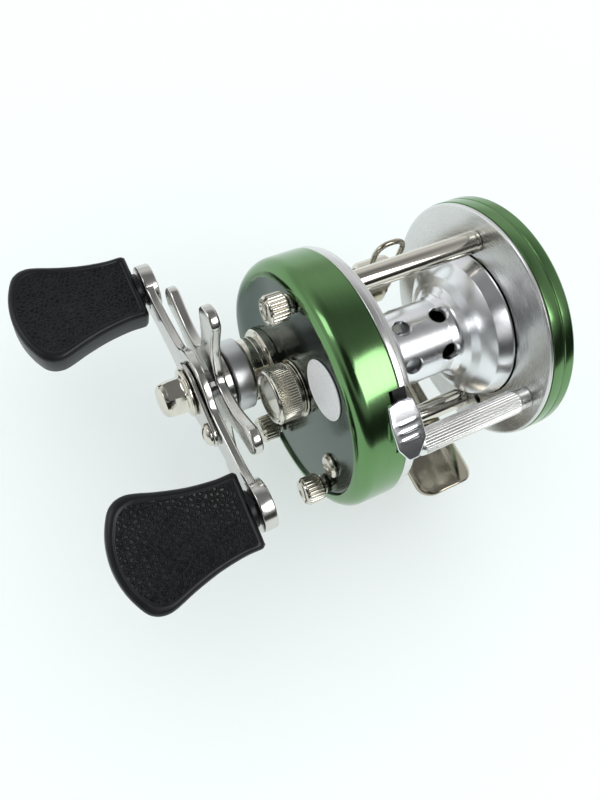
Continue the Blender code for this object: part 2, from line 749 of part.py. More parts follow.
def level_wind():
    """Worm, its guard tube, the guide bar, and the carriage with its wire eye."""
    y, z = WORM_AXIS
    worm = [
        (33.6, 0),
        (33.6, 1.5),
        (-2.9, 1.5),
        (-2.9, 1.1),
        (-4.5, 1.1),
        (-4.5, 0),
    ]
    turned("worm_shaft", worm, STEEL, 16, WORM_AXIS)
    facing = math.atan2(DRIVE_AXIS[1] - z, DRIVE_AXIS[0] - y) + math.pi / WORM_TEETH
    gear("worm_gear", WORM_TEETH, LEVEL_MODULE, facing, -3.2, -4.3, 1.2, BLACK, WORM_AXIS)
    tube = washer("level_wind_tube", PLATE_GAP - FIT, FIT, 2.5, 1.75, NICKEL, 20, WORM_AXIS, 0.1)
    slot = block("tube_slot", (2.5, y - 0.9, z - 4), (PLATE_GAP - 2.5, y + 0.9, z - 1), None)
    combine(tube, slot)
    bar_y, bar_z = 21.6, -9.0
    rod("guide_bar", PLATE_GAP - FIT, FIT, 1.2, STEEL, 12, (bar_y, bar_z), 0.15)
    body = block("line_guide", (14.0, 16.6, -10.6), (23.0, 23.3, 1.4), NICKEL, 0.8)
    drill(body, 25, 12, 2.5 + FIT, WORM_AXIS, 20)
    drill(body, 25, 12, 1.3, (bar_y, bar_z), 12)
    combine(body, block("guide_gap", (13, 15.5, -7.2), (24, 18.4, -5.2), None))
    well = prism("pawl_well", [circle(1.15, 12)], 9, None, UPRIGHT, (18.5, y, z - 6.0))
    combine(body, well)
    pawl = [
        (z - 1.55, 0),
        (z - 1.55, 0.55),
        (z - 2.6, 0.6),
        (z - 2.7, 1.05),
        (z - 7.4, 1.05),
        (z - 7.4, 0),
    ]
    turned("pawl", pawl, BRASS, 12, (y, 0), axes=UPRIGHT, x=18.5)
    eye_y = 18.4
    loop = arc((0, 0), 3.2, 0, 180, 9)
    eye = [(18.5 + 3.4, eye_y, 1.7)] + [(18.5 + u, eye_y, 8.6 + v) for u, v in loop]
    eye.append((18.5 - 3.4, eye_y, 1.7))
    wire("line_eye", eye, 0.6, CHROME)


def handle():
    """Drag collar, star wheel, arm, nut and its retainer."""
    washer("drag_collar", -18.0, -22.0, 7.8, STEM_R + FIT, SATIN, 24, DRIVE_AXIS, 0.3)
    star_wheel()
    arm_plate()
    washer_bore = SHAFT_R + FIT
    nut = [
        (-34.9, 0),
        (-34.9, washer_bore),
        (-30.6, washer_bore),
        (-30.6, 5.0),
        (-30.8, 5.3),
        (-31.4, 5.3),
        (-31.6, 4.1),
        (-35.0, 4.1),
        (-36.4, 3.3),
        (-37.0, 1.8),
        (-37.1, 0),
    ]
    turned("handle_nut", nut, NICKEL, 20, DRIVE_AXIS)
    outline = arc((0, 0), 6.5, -120, 120, 17) + arc((RETAINER_REACH, 0), 2.9, 110, 250, 9)
    holes = [circle(washer_bore, 20), circle(1.2, 12, (RETAINER_REACH, 0))]
    plate("nut_retainer", [outline, *holes], -29.6, -30.4, NICKEL, DRIVE_AXIS, ARM_ANGLE)
    screw = [
        (ARM_X[0] - 0.2, 0),
        (ARM_X[0] - 0.2, 1.0),
        (-30.5, 1.0),
        (-30.5, 2.5),
        (-31.2, 2.3),
        (-31.9, 1.2),
        (-31.9, 0),
    ]
    turned("retainer_screw", screw, NICKEL, 12, on_arm(RETAINER_REACH))


def on_arm(reach):
    """The point of the arm's centre line at a distance from the drive axis."""
    y, z = polar(reach, ARM_ANGLE)
    return (DRIVE_AXIS[0] + y, DRIVE_AXIS[1] + z)


def star_wheel():
    """The five-armed wheel that tightens the drag."""
    outline = []
    for number in range(5):
        angle = STAR_TURN + math.radians(72 * number)
        tip = arc((STAR_R - 2.7, 0), 2.7, -80, 80, 6)
        spoke = [(8.6, -3.6), (11.0, -2.9), *tip, (11.0, 2.9), (8.6, 3.6)]
        for u, v in spoke:
            outline.append(polar(math.hypot(u, v), angle + math.atan2(v, u)))
    star = plate("star_drag", [outline], -24.0, -26.2, NICKEL, DRIVE_AXIS)
    hub = rod("star_hub", -22.2, -24.1, 7.0, None, 24, DRIVE_AXIS, edge=0.3)
    combine(star, hub, "UNION")
    drill(star, -20, -28, STEM_R + FIT, DRIVE_AXIS, 20)


def arm_plate():
    """The handle arm, its knob spindles, and the two paddle knobs."""
    outline = []
    for side in (0, 180):
        turn = math.radians(side)
        tip = arc((KNOB_REACH, 0), BOSS_R - 0.3, -110, 110, 9)
        half = [(8.2, -4.6), (13.0, -4.0), (22.0, -3.7), *tip]
        half += [(22.0, 3.7), (13.0, 4.0), (8.2, 4.6), *arc((0, 0), 9.0, 48, 132, 6)]
        for u, v in half:
            outline.append(polar(math.hypot(u, v), turn + math.atan2(v, u)))
    arm = plate("handle_arm", [outline], *ARM_X, NICKEL, DRIVE_AXIS, ARM_ANGLE)
    for side in (1, -1):
        yz = on_arm(side * KNOB_REACH)
        boss = rod(f"arm_boss_{side}", *BOSS_X, BOSS_R, None, 24, yz, edge=0.25)
        combine(arm, boss, "UNION")
    drill(arm, -26, -31, SHAFT_R + FIT, DRIVE_AXIS, 20)
    drill(arm, -26, -31, 1.1, on_arm(RETAINER_REACH), 12)
    for number, side in ((1, 1), (2, -1)):
        yz = on_arm(side * KNOB_REACH)
        drill(arm, -25, -31, 1.7, yz, 16)
        spindle = [
            (BOSS_X[0] - 0.3, 0),
            (BOSS_X[0] - 0.3, 1.4),
            (BOSS_X[0] - 0.5, 1.6),
            (-52.0, 1.6),
            (-52.0, 0),
        ]
        turned(f"knob_spindle_{number}", spindle, STEEL, 14, yz)
        knob(f"knob_{number}", yz, KNOB_ROLLS[number - 1])


def knob(name, yz, roll):
    """A flat paddle: narrow at the arm, flared and bowed at its outer end."""
    length = KNOB_LENGTH
    side = [(7.0, 0), (7.8, 0.8), (7.8, 4.5), (8.5, 9.8), (9.8, 15.0), (11.2, 19.3)]
    side += [(11.5, 21.4), (10.9, 23.4), (9.3, 25.0), (5.0, 26.8), (0, length)]
    outline = side + [(-u, v) for u, v in reversed(side[:-1])]
    wide = Vector((0, *polar(1, roll)))
    out = Vector((-1, 0, 0))
    axes = Matrix((wide, out, wide.cross(out))).transposed()
    body = prism(name, [outline], KNOB_THICK, BLACK, axes, (KNOB_X, *yz))
    ease(body, 1.6, 2)
    hub = rod(name + "_hub", BOSS_X[1] - PLAY, KNOB_X - 0.4, 3.9, None, 24, yz, edge=0.2)
    combine(body, hub, "UNION")
    drill(body, KNOB_X + 2, -52.6, 1.75, yz, 14)


frame_plates()
bars()
foot()
gear_cover()
face_fittings()
cast_control()
thumb_screws()
palm_cover()
spool()
spool_shaft()
clutch()
anti_reverse()
drive_train()
level_wind()
handle()
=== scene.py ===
"""Looks of a round baitcasting fishing reel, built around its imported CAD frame.

Sizes are millimetres in the reel's own frame: X along the spool axis with zero at the inner
face of the gear-side plate, Y forward to the line guide, Z up, away from the foot.
"""

import math

import bmesh
import bpy
from mathutils import Matrix, Vector


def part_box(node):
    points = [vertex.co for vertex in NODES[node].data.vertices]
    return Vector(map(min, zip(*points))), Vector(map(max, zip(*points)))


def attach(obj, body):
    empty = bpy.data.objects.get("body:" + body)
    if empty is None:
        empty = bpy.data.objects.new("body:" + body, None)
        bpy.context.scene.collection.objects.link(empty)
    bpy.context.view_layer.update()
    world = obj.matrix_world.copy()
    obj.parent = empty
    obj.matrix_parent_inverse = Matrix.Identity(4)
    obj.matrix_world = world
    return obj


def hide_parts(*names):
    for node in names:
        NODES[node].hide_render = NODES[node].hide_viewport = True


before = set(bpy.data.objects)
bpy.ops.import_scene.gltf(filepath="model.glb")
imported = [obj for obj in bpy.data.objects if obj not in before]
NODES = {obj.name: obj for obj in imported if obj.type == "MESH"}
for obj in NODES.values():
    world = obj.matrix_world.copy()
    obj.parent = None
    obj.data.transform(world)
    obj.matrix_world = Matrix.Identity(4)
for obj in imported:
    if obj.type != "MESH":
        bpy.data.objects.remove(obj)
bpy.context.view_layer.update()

MM = 0.001
plate_low, plate_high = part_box("gear_side_frame")
ORIGIN = Vector((plate_high.x, (plate_low.y + plate_high.y) / 2, (plate_low.z + plate_high.z) / 2))

SPOOL_AXIS = (0.0, 0.0)
DRIVE_AXIS = (10.6, -8.0)
WORM_AXIS = (19.4, -2.0)
TOP_BAR = (9.1, 18.3)
THUMB_BAR = (-21.6, 4.0)
FRONT_BAR = (11.0, -17.1)
REAR_BAR = (-11.0, -17.1)
SCREWS = {"top": (9.0, 18.8), "rear": (-18.2, -11.0), "front": (0.5, -19.6)}
OIL_PORT = (-17.1, -2.8)
BADGE = (-7.1, 12.9)
ARM_ANGLE = math.radians(-7.2)
KNOB_REACH = 29.2
RETAINER_REACH = -11.0
STAR_TURN = math.radians(7.0)
SPOOL_MID = 15.55
GUIDE_BAR = (21.6, -9.0)
FOOT_X = 18.2
FOOT_HALF_LENGTH = 29.0
PADDLE_HALF_WIDTH = 9.4
PADDLE_MIDDLE = 13.75
KNOB_ROLLS = (5.0, 13.0)
PEBBLE_SCALE = 980.0
PEBBLE_RISE = 0.0003
FACE_RIM = 23.2
MARK_DEPTH = 0.00001

# Studio, in metres. A tent is (height of the direction, brightness), from the horizon up.
FLOOR_Z = -0.0285
KEY_PLACE, KEY_SIZE, KEY_POWER = (0.131, -0.268, 0.424), (0.26, 0.27), 1.0
SIDE_PLACE, SIDE_SIZE, SIDE_POWER = (-0.36, 0.16, 0.34), (0.16, 0.22), 0.3
LIGHT_AIM = (-0.01, 0.0, 0.02)
TENT_LIGHT = (1.13, 1.13, 1.13, 1)
FRONT_TENT = (
    (0.0, 0.9), (0.18, 0.70), (0.4, 0.78), (0.55, 0.72), (0.7, 0.45), (0.85, 0.20), (1.0, 0.20)
)
REAR_TENT = (
    (0.0, 0.20), (0.06, 0.06), (0.12, 0.02), (0.38, 0.03),
    (0.50, 0.30), (0.6, 0.55), (0.8, 0.45), (1.0, 0.20),
)
GAP_AIM = (-0.39, -0.35, 0.85)
CAMERA_PLACE = (-0.07897, -0.04840, 0.15512)
CAMERA_RIGHT = (0.88077, -0.44234, 0.16906)
CAMERA_AHEAD = (0.32473, 0.30434, -0.89550)
CAMERA_LENS = 33.30


def put(x, y, z):
    return Vector((ORIGIN.x + x * MM, ORIGIN.y + y * MM, ORIGIN.z + z * MM))


def polar(radius, angle):
    return (radius * math.cos(angle), radius * math.sin(angle))


def on_arm(reach):
    y, z = polar(reach, ARM_ANGLE)
    return (DRIVE_AXIS[0] + y, DRIVE_AXIS[1] + z)


def smoothstep(low, high, value):
    t = min(1.0, max(0.0, (value - low) / (high - low)))
    return t * t * (3 - 2 * t)


# ---------------------------------------------------------------- materials


class Tree:
    """A material's node tree, with short calls for the nodes used here."""

    def __init__(self, name):
        self.material = bpy.data.materials.new(name)
        self.material.use_nodes = True
        self.tree = self.material.node_tree
        self.shader = self.tree.nodes["Principled BSDF"]
        self.place = self.add("ShaderNodeTexCoord").outputs["Object"]

    def add(self, kind, **settings):
        node = self.tree.nodes.new(kind)
        for key, value in settings.items():
            setattr(node, key, value)
        return node

    def link(self, source, target):
        self.tree.links.new(source, target)

    def feed(self, node, *values):
        for socket, value in zip(node.inputs, values):
            if isinstance(value, bpy.types.NodeSocket):
                self.link(value, socket)
            else:
                socket.default_value = value
        return node.outputs[0]

    def sum(self, kind, *values):
        return self.feed(self.add("ShaderNodeMath", operation=kind), *values)

    def noise(self, vector, scale, detail=3.0, rough=0.5):
        node = self.add("ShaderNodeTexNoise")
        self.link(vector, node.inputs["Vector"])
        node.inputs["Scale"].default_value = scale
        node.inputs["Detail"].default_value = detail
        node.inputs["Roughness"].default_value = rough
        return node.outputs["Fac"]

    def spread(self, value, low, high, to_low, to_high):
        return self.feed(self.add("ShaderNodeMapRange"), value, low, high, to_low, to_high)

    def mix(self, share, first, second):
        node = self.add("ShaderNodeMix", data_type="RGBA")
        self.link(share, node.inputs[0])
        node.inputs[6].default_value = (*first, 1)
        node.inputs[7].default_value = (*second, 1)
        return node.outputs[2]

    def stretched(self, x, y, z):
        node = self.add("ShaderNodeMapping")
        self.link(self.place, node.inputs["Vector"])
        node.inputs["Scale"].default_value = (x, y, z)
        return node.outputs[0]

    def turned(self, axis):
        """Coordinates that only change along X and away from the axis, as lathe marks do."""
        centre = put(0, *axis)
        parts = self.add("ShaderNodeSeparateXYZ")
        self.link(self.place, parts.inputs[0])
        y = self.sum("SUBTRACT", parts.outputs[1], centre.y)
        z = self.sum("SUBTRACT", parts.outputs[2], centre.z)
        square = self.sum("ADD", self.sum("MULTIPLY", y, y), self.sum("MULTIPLY", z, z))
        radius = self.sum("SQRT", square)
        drift = self.sum("MULTIPLY", self.sum("ADD", y, z), 0.012)
        join = self.add("ShaderNodeCombineXYZ")
        self.link(parts.outputs[0], join.inputs[0])
        self.link(radius, join.inputs[1])
        self.link(drift, join.inputs[2])
        return join.outputs[0]

    def bump(self, height, strength, distance, under=None):
        node = self.add("ShaderNodeBump")
        node.inputs["Strength"].default_value = strength
        node.inputs["Distance"].default_value = distance
        self.link(height, node.inputs["Height"])
        if under:
            self.link(under, node.inputs["Normal"])
        return node.outputs["Normal"]


def metal(name, light, dark, rough, grain, strength=0.12, axis=SPOOL_AXIS, metallic=1.0, vary=0.3):
    """Metal with machining marks, faint handling smudges and tiny pits."""
    smudge = 0.35
    t = Tree(name)
    if grain == "turned":
        marks = t.noise(t.turned(axis), 5200.0, 4.0, 0.65)
    elif grain == "length":
        marks = t.noise(t.stretched(0.02, 1.0, 1.0), 5200.0, 3.0, 0.6)
    elif grain == "plate":
        marks = t.noise(t.stretched(1.0, 0.04, 1.0), 4200.0, 3.0, 0.6)
    else:
        marks = t.noise(t.place, 3800.0, 4.0, 0.6)
    cloud = t.noise(t.place, 95.0, 4.0, 0.6)
    fine = t.noise(t.place, 1400.0, 3.0, 0.7)
    tone = t.sum("ADD", t.sum("MULTIPLY", cloud, 0.7), t.sum("MULTIPLY", marks, 0.3))
    shade = t.spread(tone, 0.3, 0.7, 0.0, 1.0)
    t.link(t.mix(shade, dark, light), t.shader.inputs["Base Color"])
    wear = t.sum("ADD", t.sum("MULTIPLY", cloud, smudge), t.sum("MULTIPLY", marks, 1 - smudge))
    t.link(t.spread(wear, 0.25, 0.75, rough * (1 - vary), rough * (1 + vary)), t.shader.inputs["Roughness"])
    pits = t.spread(fine, 0.30, 0.36, 0.0, 1.0)
    height = t.sum("ADD", marks, t.sum("MULTIPLY", pits, 0.35))
    t.link(t.bump(height, strength, MARK_DEPTH), t.shader.inputs["Normal"])
    t.shader.inputs["Metallic"].default_value = metallic
    return t.material


def anodised(name):
    """Polished aluminium, dyed green, with painted shade on the gear side's flat face: a darker, greyer
    colour there.
    """
    t = Tree(name)
    spot = t.turned(SPOOL_AXIS)
    marks = t.noise(spot, 3800.0, 4.0, 0.6)
    cloud = t.noise(t.place, 60.0, 3.0, 0.5)
    speck = t.noise(t.place, 2300.0, 2.0, 0.5)
    parts = t.add("ShaderNodeSeparateXYZ")
    t.link(spot, parts.inputs[0])
    x, radius = parts.outputs[0], parts.outputs[1]
    # Mask of the flat face and its swollen part, where the painted shade goes.
    inner = t.spread(radius, (FACE_RIM + 0.25) * MM, FACE_RIM * MM, 0.0, 1.0)
    inner = t.sum("MULTIPLY", inner, t.spread(x, ORIGIN.x - 10.8 * MM, ORIGIN.x - 11.3 * MM, 0.0, 1.0))
    raised = t.spread(x, ORIGIN.x - 12.2 * MM, ORIGIN.x - 13.1 * MM, 0.0, 1.0)
    face = t.sum("MAXIMUM", inner, raised)
    tone = t.sum("ADD", t.sum("MULTIPLY", cloud, 0.6), t.sum("MULTIPLY", marks, 0.4))
    shade = t.spread(tone, 0.3, 0.7, 0.0, 1.0)
    wall = t.mix(shade, (0.115, 0.232, 0.088), (0.150, 0.290, 0.120))
    # Painted shade: the face's darker, greyer green stands in for the shaded floor it reflects.
    deep = t.mix(shade, (0.062, 0.092, 0.076), (0.078, 0.112, 0.094))
    blend = t.add("ShaderNodeMix", data_type="RGBA")
    t.link(face, blend.inputs[0])
    t.link(wall, blend.inputs[6])
    t.link(deep, blend.inputs[7])
    t.link(blend.outputs[2], t.shader.inputs["Base Color"])
    t.link(t.spread(marks, 0.2, 0.8, 0.12, 0.19), t.shader.inputs["Roughness"])
    dents = t.spread(speck, 0.27, 0.33, 0.0, 1.0)
    height = t.sum("ADD", t.sum("MULTIPLY", marks, 0.6), t.sum("MULTIPLY", dents, 0.5))
    t.link(t.bump(height, 0.10, MARK_DEPTH), t.shader.inputs["Normal"])
    t.shader.inputs["Metallic"].default_value = 1.0
    t.shader.inputs["Coat Weight"].default_value = 0.15
    t.shader.inputs["Coat Roughness"].default_value = 0.06
    return t.material


def moulded(name, pebbled, colour=(0.0042, 0.0047, 0.0055), rough=0.36, roll=0.0):
    """Moulded black plastic, either smooth or with a leather-like pebble."""
    t = Tree(name)
    cloud = t.noise(t.place, 220.0, 4.0, 0.6)
    grit = t.noise(t.place, 5200.0, 3.0, 0.6)
    lighter = tuple(c * 2.1 for c in colour)
    t.link(t.mix(t.spread(cloud, 0.35, 0.7, 0.0, 1.0), colour, lighter), t.shader.inputs["Base Color"])
    normal = t.bump(grit, 0.18, 0.00003)
    if pebbled:
        level = t.add("ShaderNodeMapping")
        level.inputs["Rotation"].default_value = (-roll, 0, 0)
        t.link(t.place, level.inputs["Vector"])
        flat = t.add("ShaderNodeMapping")
        flat.inputs["Scale"].default_value = (1, 1, 0.01)
        t.link(level.outputs[0], flat.inputs["Vector"])
        warp = t.add("ShaderNodeTexNoise")
        t.link(flat.outputs[0], warp.inputs["Vector"])
        warp.inputs["Scale"].default_value = 700.0
        warp.inputs["Detail"].default_value = 1.0
        shift = t.add("ShaderNodeVectorMath", operation="SCALE")
        t.link(warp.outputs["Color"], shift.inputs[0])
        shift.inputs["Scale"].default_value = 0.0003
        moved = t.add("ShaderNodeVectorMath", operation="ADD")
        t.link(flat.outputs[0], moved.inputs[0])
        t.link(shift.outputs[0], moved.inputs[1])
        cells = t.add("ShaderNodeTexVoronoi", feature="DISTANCE_TO_EDGE", voronoi_dimensions="2D")
        t.link(moved.outputs[0], cells.inputs["Vector"])
        cells.inputs["Scale"].default_value = PEBBLE_SCALE
        cells.inputs["Randomness"].default_value = 0.85
        dome = t.spread(cells.outputs["Distance"], 0.0, 0.34, 0.0, 1.0)
        dome.node.interpolation_type = "SMOOTHSTEP"
        normal = t.bump(dome, 1.0, PEBBLE_RISE, normal)
        t.link(t.spread(dome, 0.0, 1.0, rough * 1.4, rough * 0.75), t.shader.inputs["Roughness"])
    else:
        t.link(t.spread(grit, 0.2, 0.8, rough * 0.8, rough * 1.25), t.shader.inputs["Roughness"])
    t.link(normal, t.shader.inputs["Normal"])
    t.shader.inputs["Specular IOR Level"].default_value = 0.32
    return t.material


NICKEL_LIGHT, NICKEL_DARK = (0.74, 0.71, 0.63), (0.64, 0.61, 0.53)
NICKEL = metal("nickel", NICKEL_LIGHT, NICKEL_DARK, 0.09, "length")
NICKEL_PLATE = metal("nickel_plate", (0.68, 0.67, 0.64), (0.56, 0.55, 0.52), 0.17, "plate")
NICKEL_FOOT = metal("nickel_foot", (0.54, 0.50, 0.41), (0.40, 0.37, 0.29), 0.12, "any", 0.2)
NICKEL_DRIVE = metal("nickel_drive", NICKEL_LIGHT, NICKEL_DARK, 0.10, "turned", axis=DRIVE_AXIS)
NICKEL_SPOOL = metal("nickel_spool_axis", NICKEL_LIGHT, NICKEL_DARK, 0.13, "turned")
NICKEL_ANY = metal("nickel_cast", NICKEL_LIGHT, NICKEL_DARK, 0.16, "any")
SATIN = metal("satin_plate", (0.74, 0.74, 0.73), (0.68, 0.68, 0.67), 0.27, "turned", 0.025, vary=0.06)
COLLAR_LIGHT, COLLAR_DARK = (0.62, 0.63, 0.64), (0.54, 0.55, 0.56)
SATIN_DRIVE = metal("satin_collar", COLLAR_LIGHT, COLLAR_DARK, 0.34, "turned", 0.2, axis=DRIVE_AXIS)
BRIGHT = metal("bright_spool", (0.88, 0.89, 0.91), (0.82, 0.83, 0.85), 0.24, "turned", 0.03, vary=0.06)
BRIGHT_BAR = metal("bright_bar", (0.84, 0.84, 0.83), (0.74, 0.74, 0.72), 0.22, "length", 0.2)
CHROME = metal("chrome_plate", (0.88, 0.89, 0.91), (0.80, 0.81, 0.84), 0.20, "any", 0.05)
BRASS = metal("brass_turned", (0.74, 0.54, 0.24), (0.60, 0.42, 0.17), 0.24, "any", 0.3)
STEEL = metal("steel_ground", (0.52, 0.53, 0.55), (0.40, 0.41, 0.43), 0.26, "any", 0.35)
WORM = metal("steel_worm", (0.60, 0.60, 0.60), (0.46, 0.46, 0.46), 0.20, "length", 0.3)
CARBON = moulded("carbon_weave", False, (0.012, 0.012, 0.013), 0.6)
# This black also colours the notch's cut faces, as painted shade.
BLACK = moulded("black_smooth_and_notch_shade", False)
PEBBLES = [
    moulded(f"black_pebbled_{number}", True, roll=math.radians(roll))
    for number, roll in enumerate(KNOB_ROLLS, 1)
]
GEAR_PLASTIC = moulded("gear_plastic", False, (0.015, 0.015, 0.016), 0.45)
BADGE_PLASTIC = metal("badge_print", (0.70, 0.71, 0.71), (0.62, 0.63, 0.64), 0.30, "any", 0.2, metallic=0.0)
GREEN = anodised("green_dye_and_painted_face_shade")

SLOT_FINISH = {
    "green_anodised": GREEN,
    "satin_aluminium": SATIN,
    "bright_aluminium": BRIGHT,
    "polished_nickel": NICKEL,
    "chrome": CHROME,
    "brass": BRASS,
    "steel": STEEL,
    "carbon_washer": CARBON,
    "black_plastic": GEAR_PLASTIC,
    "badge_plastic": BADGE_PLASTIC,
}
for node in NODES.values():
    for slot in node.material_slots:
        base = slot.material.name.split(".")[0] if slot.material else ""
        slot.material = SLOT_FINISH.get(base, STEEL)

# ---------------------------------------------------------------- mesh helpers


def finish_mesh(name, shape, material, smooth=38.0):
    bmesh.ops.remove_doubles(shape, verts=shape.verts, dist=0.0000004)
    bmesh.ops.dissolve_degenerate(shape, edges=shape.edges, dist=0.0000002)
    bmesh.ops.recalc_face_normals(shape, faces=shape.faces)
    mesh = bpy.data.meshes.new(name)
    shape.to_mesh(mesh)
    shape.free()
    mesh.shade_smooth()
    mesh.set_sharp_from_angle(angle=math.radians(smooth))
    if material:
        mesh.materials.append(material)
    obj = bpy.data.objects.new(name, mesh)
    bpy.context.scene.collection.objects.link(obj)
    return obj


def rounded(points, radius, closed=False, parts=4):
    """The outline with each corner turned into a small arc. A third value sets its own radius."""
    result = []
    count = len(points)
    for i, point in enumerate(points):
        here = Vector(point[:2])
        if not closed and i in (0, count - 1):
            result.append(tuple(here))
            continue
        before, after = Vector(points[i - 1][:2]), Vector(points[(i + 1) % count][:2])
        a, b = before - here, after - here
        wanted = point[2] if len(point) > 2 else radius
        if a.length < 1e-6 or b.length < 1e-6 or wanted <= 0:
            result.append(tuple(here))
            continue
        half = a.angle(b) / 2
        if half > math.radians(87):
            result.append(tuple(here))
            continue
        reach = min(wanted / max(math.tan(half), 0.02), a.length * 0.45, b.length * 0.45)
        start, end = here + a.normalized() * reach, here + b.normalized() * reach
        for k in range(parts + 1):
            t = k / parts
            result.append(tuple(start * (1 - t) ** 2 + here * 2 * t * (1 - t) + end * t * t))
    return result


def lathe(name, outline, yz, material, steps=96, ring=False, shape_of=None, axis=None, smooth=38.0):
    """A turned piece from (x, radius) points. shape_of(angle, x, radius) changes it round the axis."""
    shape = bmesh.new()
    rings = []
    for number in range(steps):
        angle = 2 * math.pi * number / steps
        row = []
        for x, radius in outline:
            if shape_of:
                x, radius = shape_of(angle, x, radius)
            y, z = polar(radius, angle)
            if axis is None:
                place = put(x, yz[0] + y, yz[1] + z)
            else:
                place = axis @ Vector((y * MM, z * MM, x * MM))
            row.append(shape.verts.new(place))
        rings.append(row)
    count = len(outline)
    last = count if ring else count - 1
    for number in range(steps):
        row, following = rings[number], rings[(number + 1) % steps]
        for i in range(last):
            j = (i + 1) % count
            shape.faces.new((row[i], following[i], following[j], row[j]))
    return finish_mesh(name, shape, material, smooth)


def slab(name, outlines, x_high, x_low, material, yz=(0.0, 0.0), turn=0.0, edge=0.3, parts=3):
    """A plate across X with rounded edges, from an outer outline and any holes."""
    curve = bpy.data.curves.new(name, "CURVE")
    curve.dimensions = "2D"
    curve.fill_mode = "BOTH"
    curve.extrude = ((x_high - x_low) / 2 - edge) * MM
    curve.bevel_depth = edge * MM
    curve.bevel_resolution = parts
    curve.offset = -edge * MM
    for outline in outlines:
        spline = curve.splines.new("POLY")
        spline.points.add(len(outline) - 1)
        for point, (u, v) in zip(spline.points, outline):
            point.co = (u * MM, v * MM, 0, 1)
        spline.use_cyclic_u = True
    guide = bpy.data.objects.new(name + "_guide", curve)
    bpy.context.scene.collection.objects.link(guide)
    mesh = bpy.data.meshes.new_from_object(guide.evaluated_get(bpy.context.evaluated_depsgraph_get()))
    bpy.data.objects.remove(guide)
    bpy.data.curves.remove(curve)
    along_x = Matrix(((0, 0, 1), (1, 0, 0), (0, 1, 0)))
    axes = Matrix.Rotation(turn, 3, "X") @ along_x
    mesh.transform(Matrix.Translation(put((x_high + x_low) / 2, *yz)) @ axes.to_4x4())
    shape = bmesh.new()
    shape.from_mesh(mesh)
    bpy.data.meshes.remove(mesh)
    return finish_mesh(name, shape, material, 50.0)


def combine(obj, tool, operation="DIFFERENCE", blend="INDEX"):
    change = obj.modifiers.new("join", "BOOLEAN")
    change.operation = operation
    change.material_mode = blend
    change.solver = "EXACT"
    change.object = tool
    graph = bpy.context.evaluated_depsgraph_get()
    mesh = bpy.data.meshes.new_from_object(obj.evaluated_get(graph))
    obj.modifiers.clear()
    old = obj.data
    obj.data = mesh
    bpy.data.meshes.remove(old)
    bpy.data.objects.remove(tool)
    shape = bmesh.new()
    shape.from_mesh(mesh)
    bmesh.ops.remove_doubles(shape, verts=shape.verts, dist=0.0000004)
    bmesh.ops.dissolve_degenerate(shape, edges=shape.edges, dist=0.0000002)
    shape.to_mesh(mesh)
    shape.free()
    mesh.shade_smooth()
    mesh.set_sharp_from_angle(angle=math.radians(38))
    return obj


def merged(tools):
    """Several separate cutters as one object."""
    shape = bmesh.new()
    for tool in tools:
        shape.from_mesh(tool.data)
        bpy.data.objects.remove(tool)
    return finish_mesh("tools", shape, None)


def arc(centre, radius, start, end, count):
    angles = [math.radians(start + (end - start) * i / (count - 1)) for i in range(count)]
    return [(centre[0] + radius * math.cos(a), centre[1] + radius * math.sin(a)) for a in angles]


def curved(points, parts=6):
    """A closed smooth outline through the points."""
    result, count = [], len(points)
    for i in range(count):
        p0, p1, p2, p3 = (Vector(points[(i + k - 1) % count]) for k in range(4))
        for k in range(parts):
            t = k / parts
            bend = 2 * p1 + (p2 - p0) * t + (2 * p0 - 5 * p1 + 4 * p2 - p3) * t * t
            bend += (3 * p1 - p0 - 3 * p2 + p3) * t**3
            result.append(tuple(0.5 * bend))
    return result


def show(piece, node, body):
    """Puts a finished piece in place of its CAD node, on that node's body."""
    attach(piece, body)
    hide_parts(node)


def hole_tool(x_high, x_low, radius, yz=(0.0, 0.0), steps=64):
    return lathe("hole", [(x_high, 0), (x_high, radius), (x_low, radius), (x_low, 0)], yz, None, steps)


# ---------------------------------------------------------------- pieces


def frame_plates():
    near = [
        (0, 16.7, 0.25),
        (0, 25.9, 0.35),
        (-1.05, 26.0, 0.05),
        (-1.2, 26.05, 0.05),
        (-1.3, 26.5, 0.2),
        (-2.55, 26.5, 0.2),
        (-2.75, 26.2, 0.1),
        (-2.8, 16.7, 0.2),
    ]
    plate = lathe("gear_side_plate", rounded(near, 0.2, True, 3), SPOOL_AXIS, SATIN, 240, True)
    # The notch's cut faces take the cutter's black, as painted shade.
    combine(plate, notch_tool(), blend="TRANSFER")
    tools = [hole_tool(1, -4, 1.3, yz, 32) for yz in SCREWS.values()]
    tools.append(hole_tool(1, -4, 1.7, WORM_AXIS, 32))
    show(combine(plate, merged(tools)), "gear_side_frame", "frame")
    far = [
        (33.9, 16.7),
        (33.9, 25.3),
        (31.8, 25.3),
        (31.8, 26.45, 0.15),
        (31.35, 26.5, 0.1),
        (31.2, 26.35, 0.1),
        (31.1, 26.0, 0.1),
        (31.1, 16.7, 0.15),
    ]
    plate = lathe("palm_side_plate", rounded(far, 0.1, True, 3), SPOOL_AXIS, SATIN, 240, True)
    tools = [hole_tool(36, 30, 1.1, (-14.2, -12.1), 32), hole_tool(35, 30, 1.7, WORM_AXIS, 32)]
    show(combine(plate, merged(tools)), "palm_side_frame", "frame")


def notch_tool():
    # This cutter's black is carried onto the notch's cut faces: painted shade in the recess.
    outline = arc((0, 0), 30, 124.0, 151.5, 40) + arc((0, 0), 23.6, 151.5, 124.0, 40)
    return slab("notch", [outline], 0.6, -5.0, BLACK, edge=0.05, parts=0)


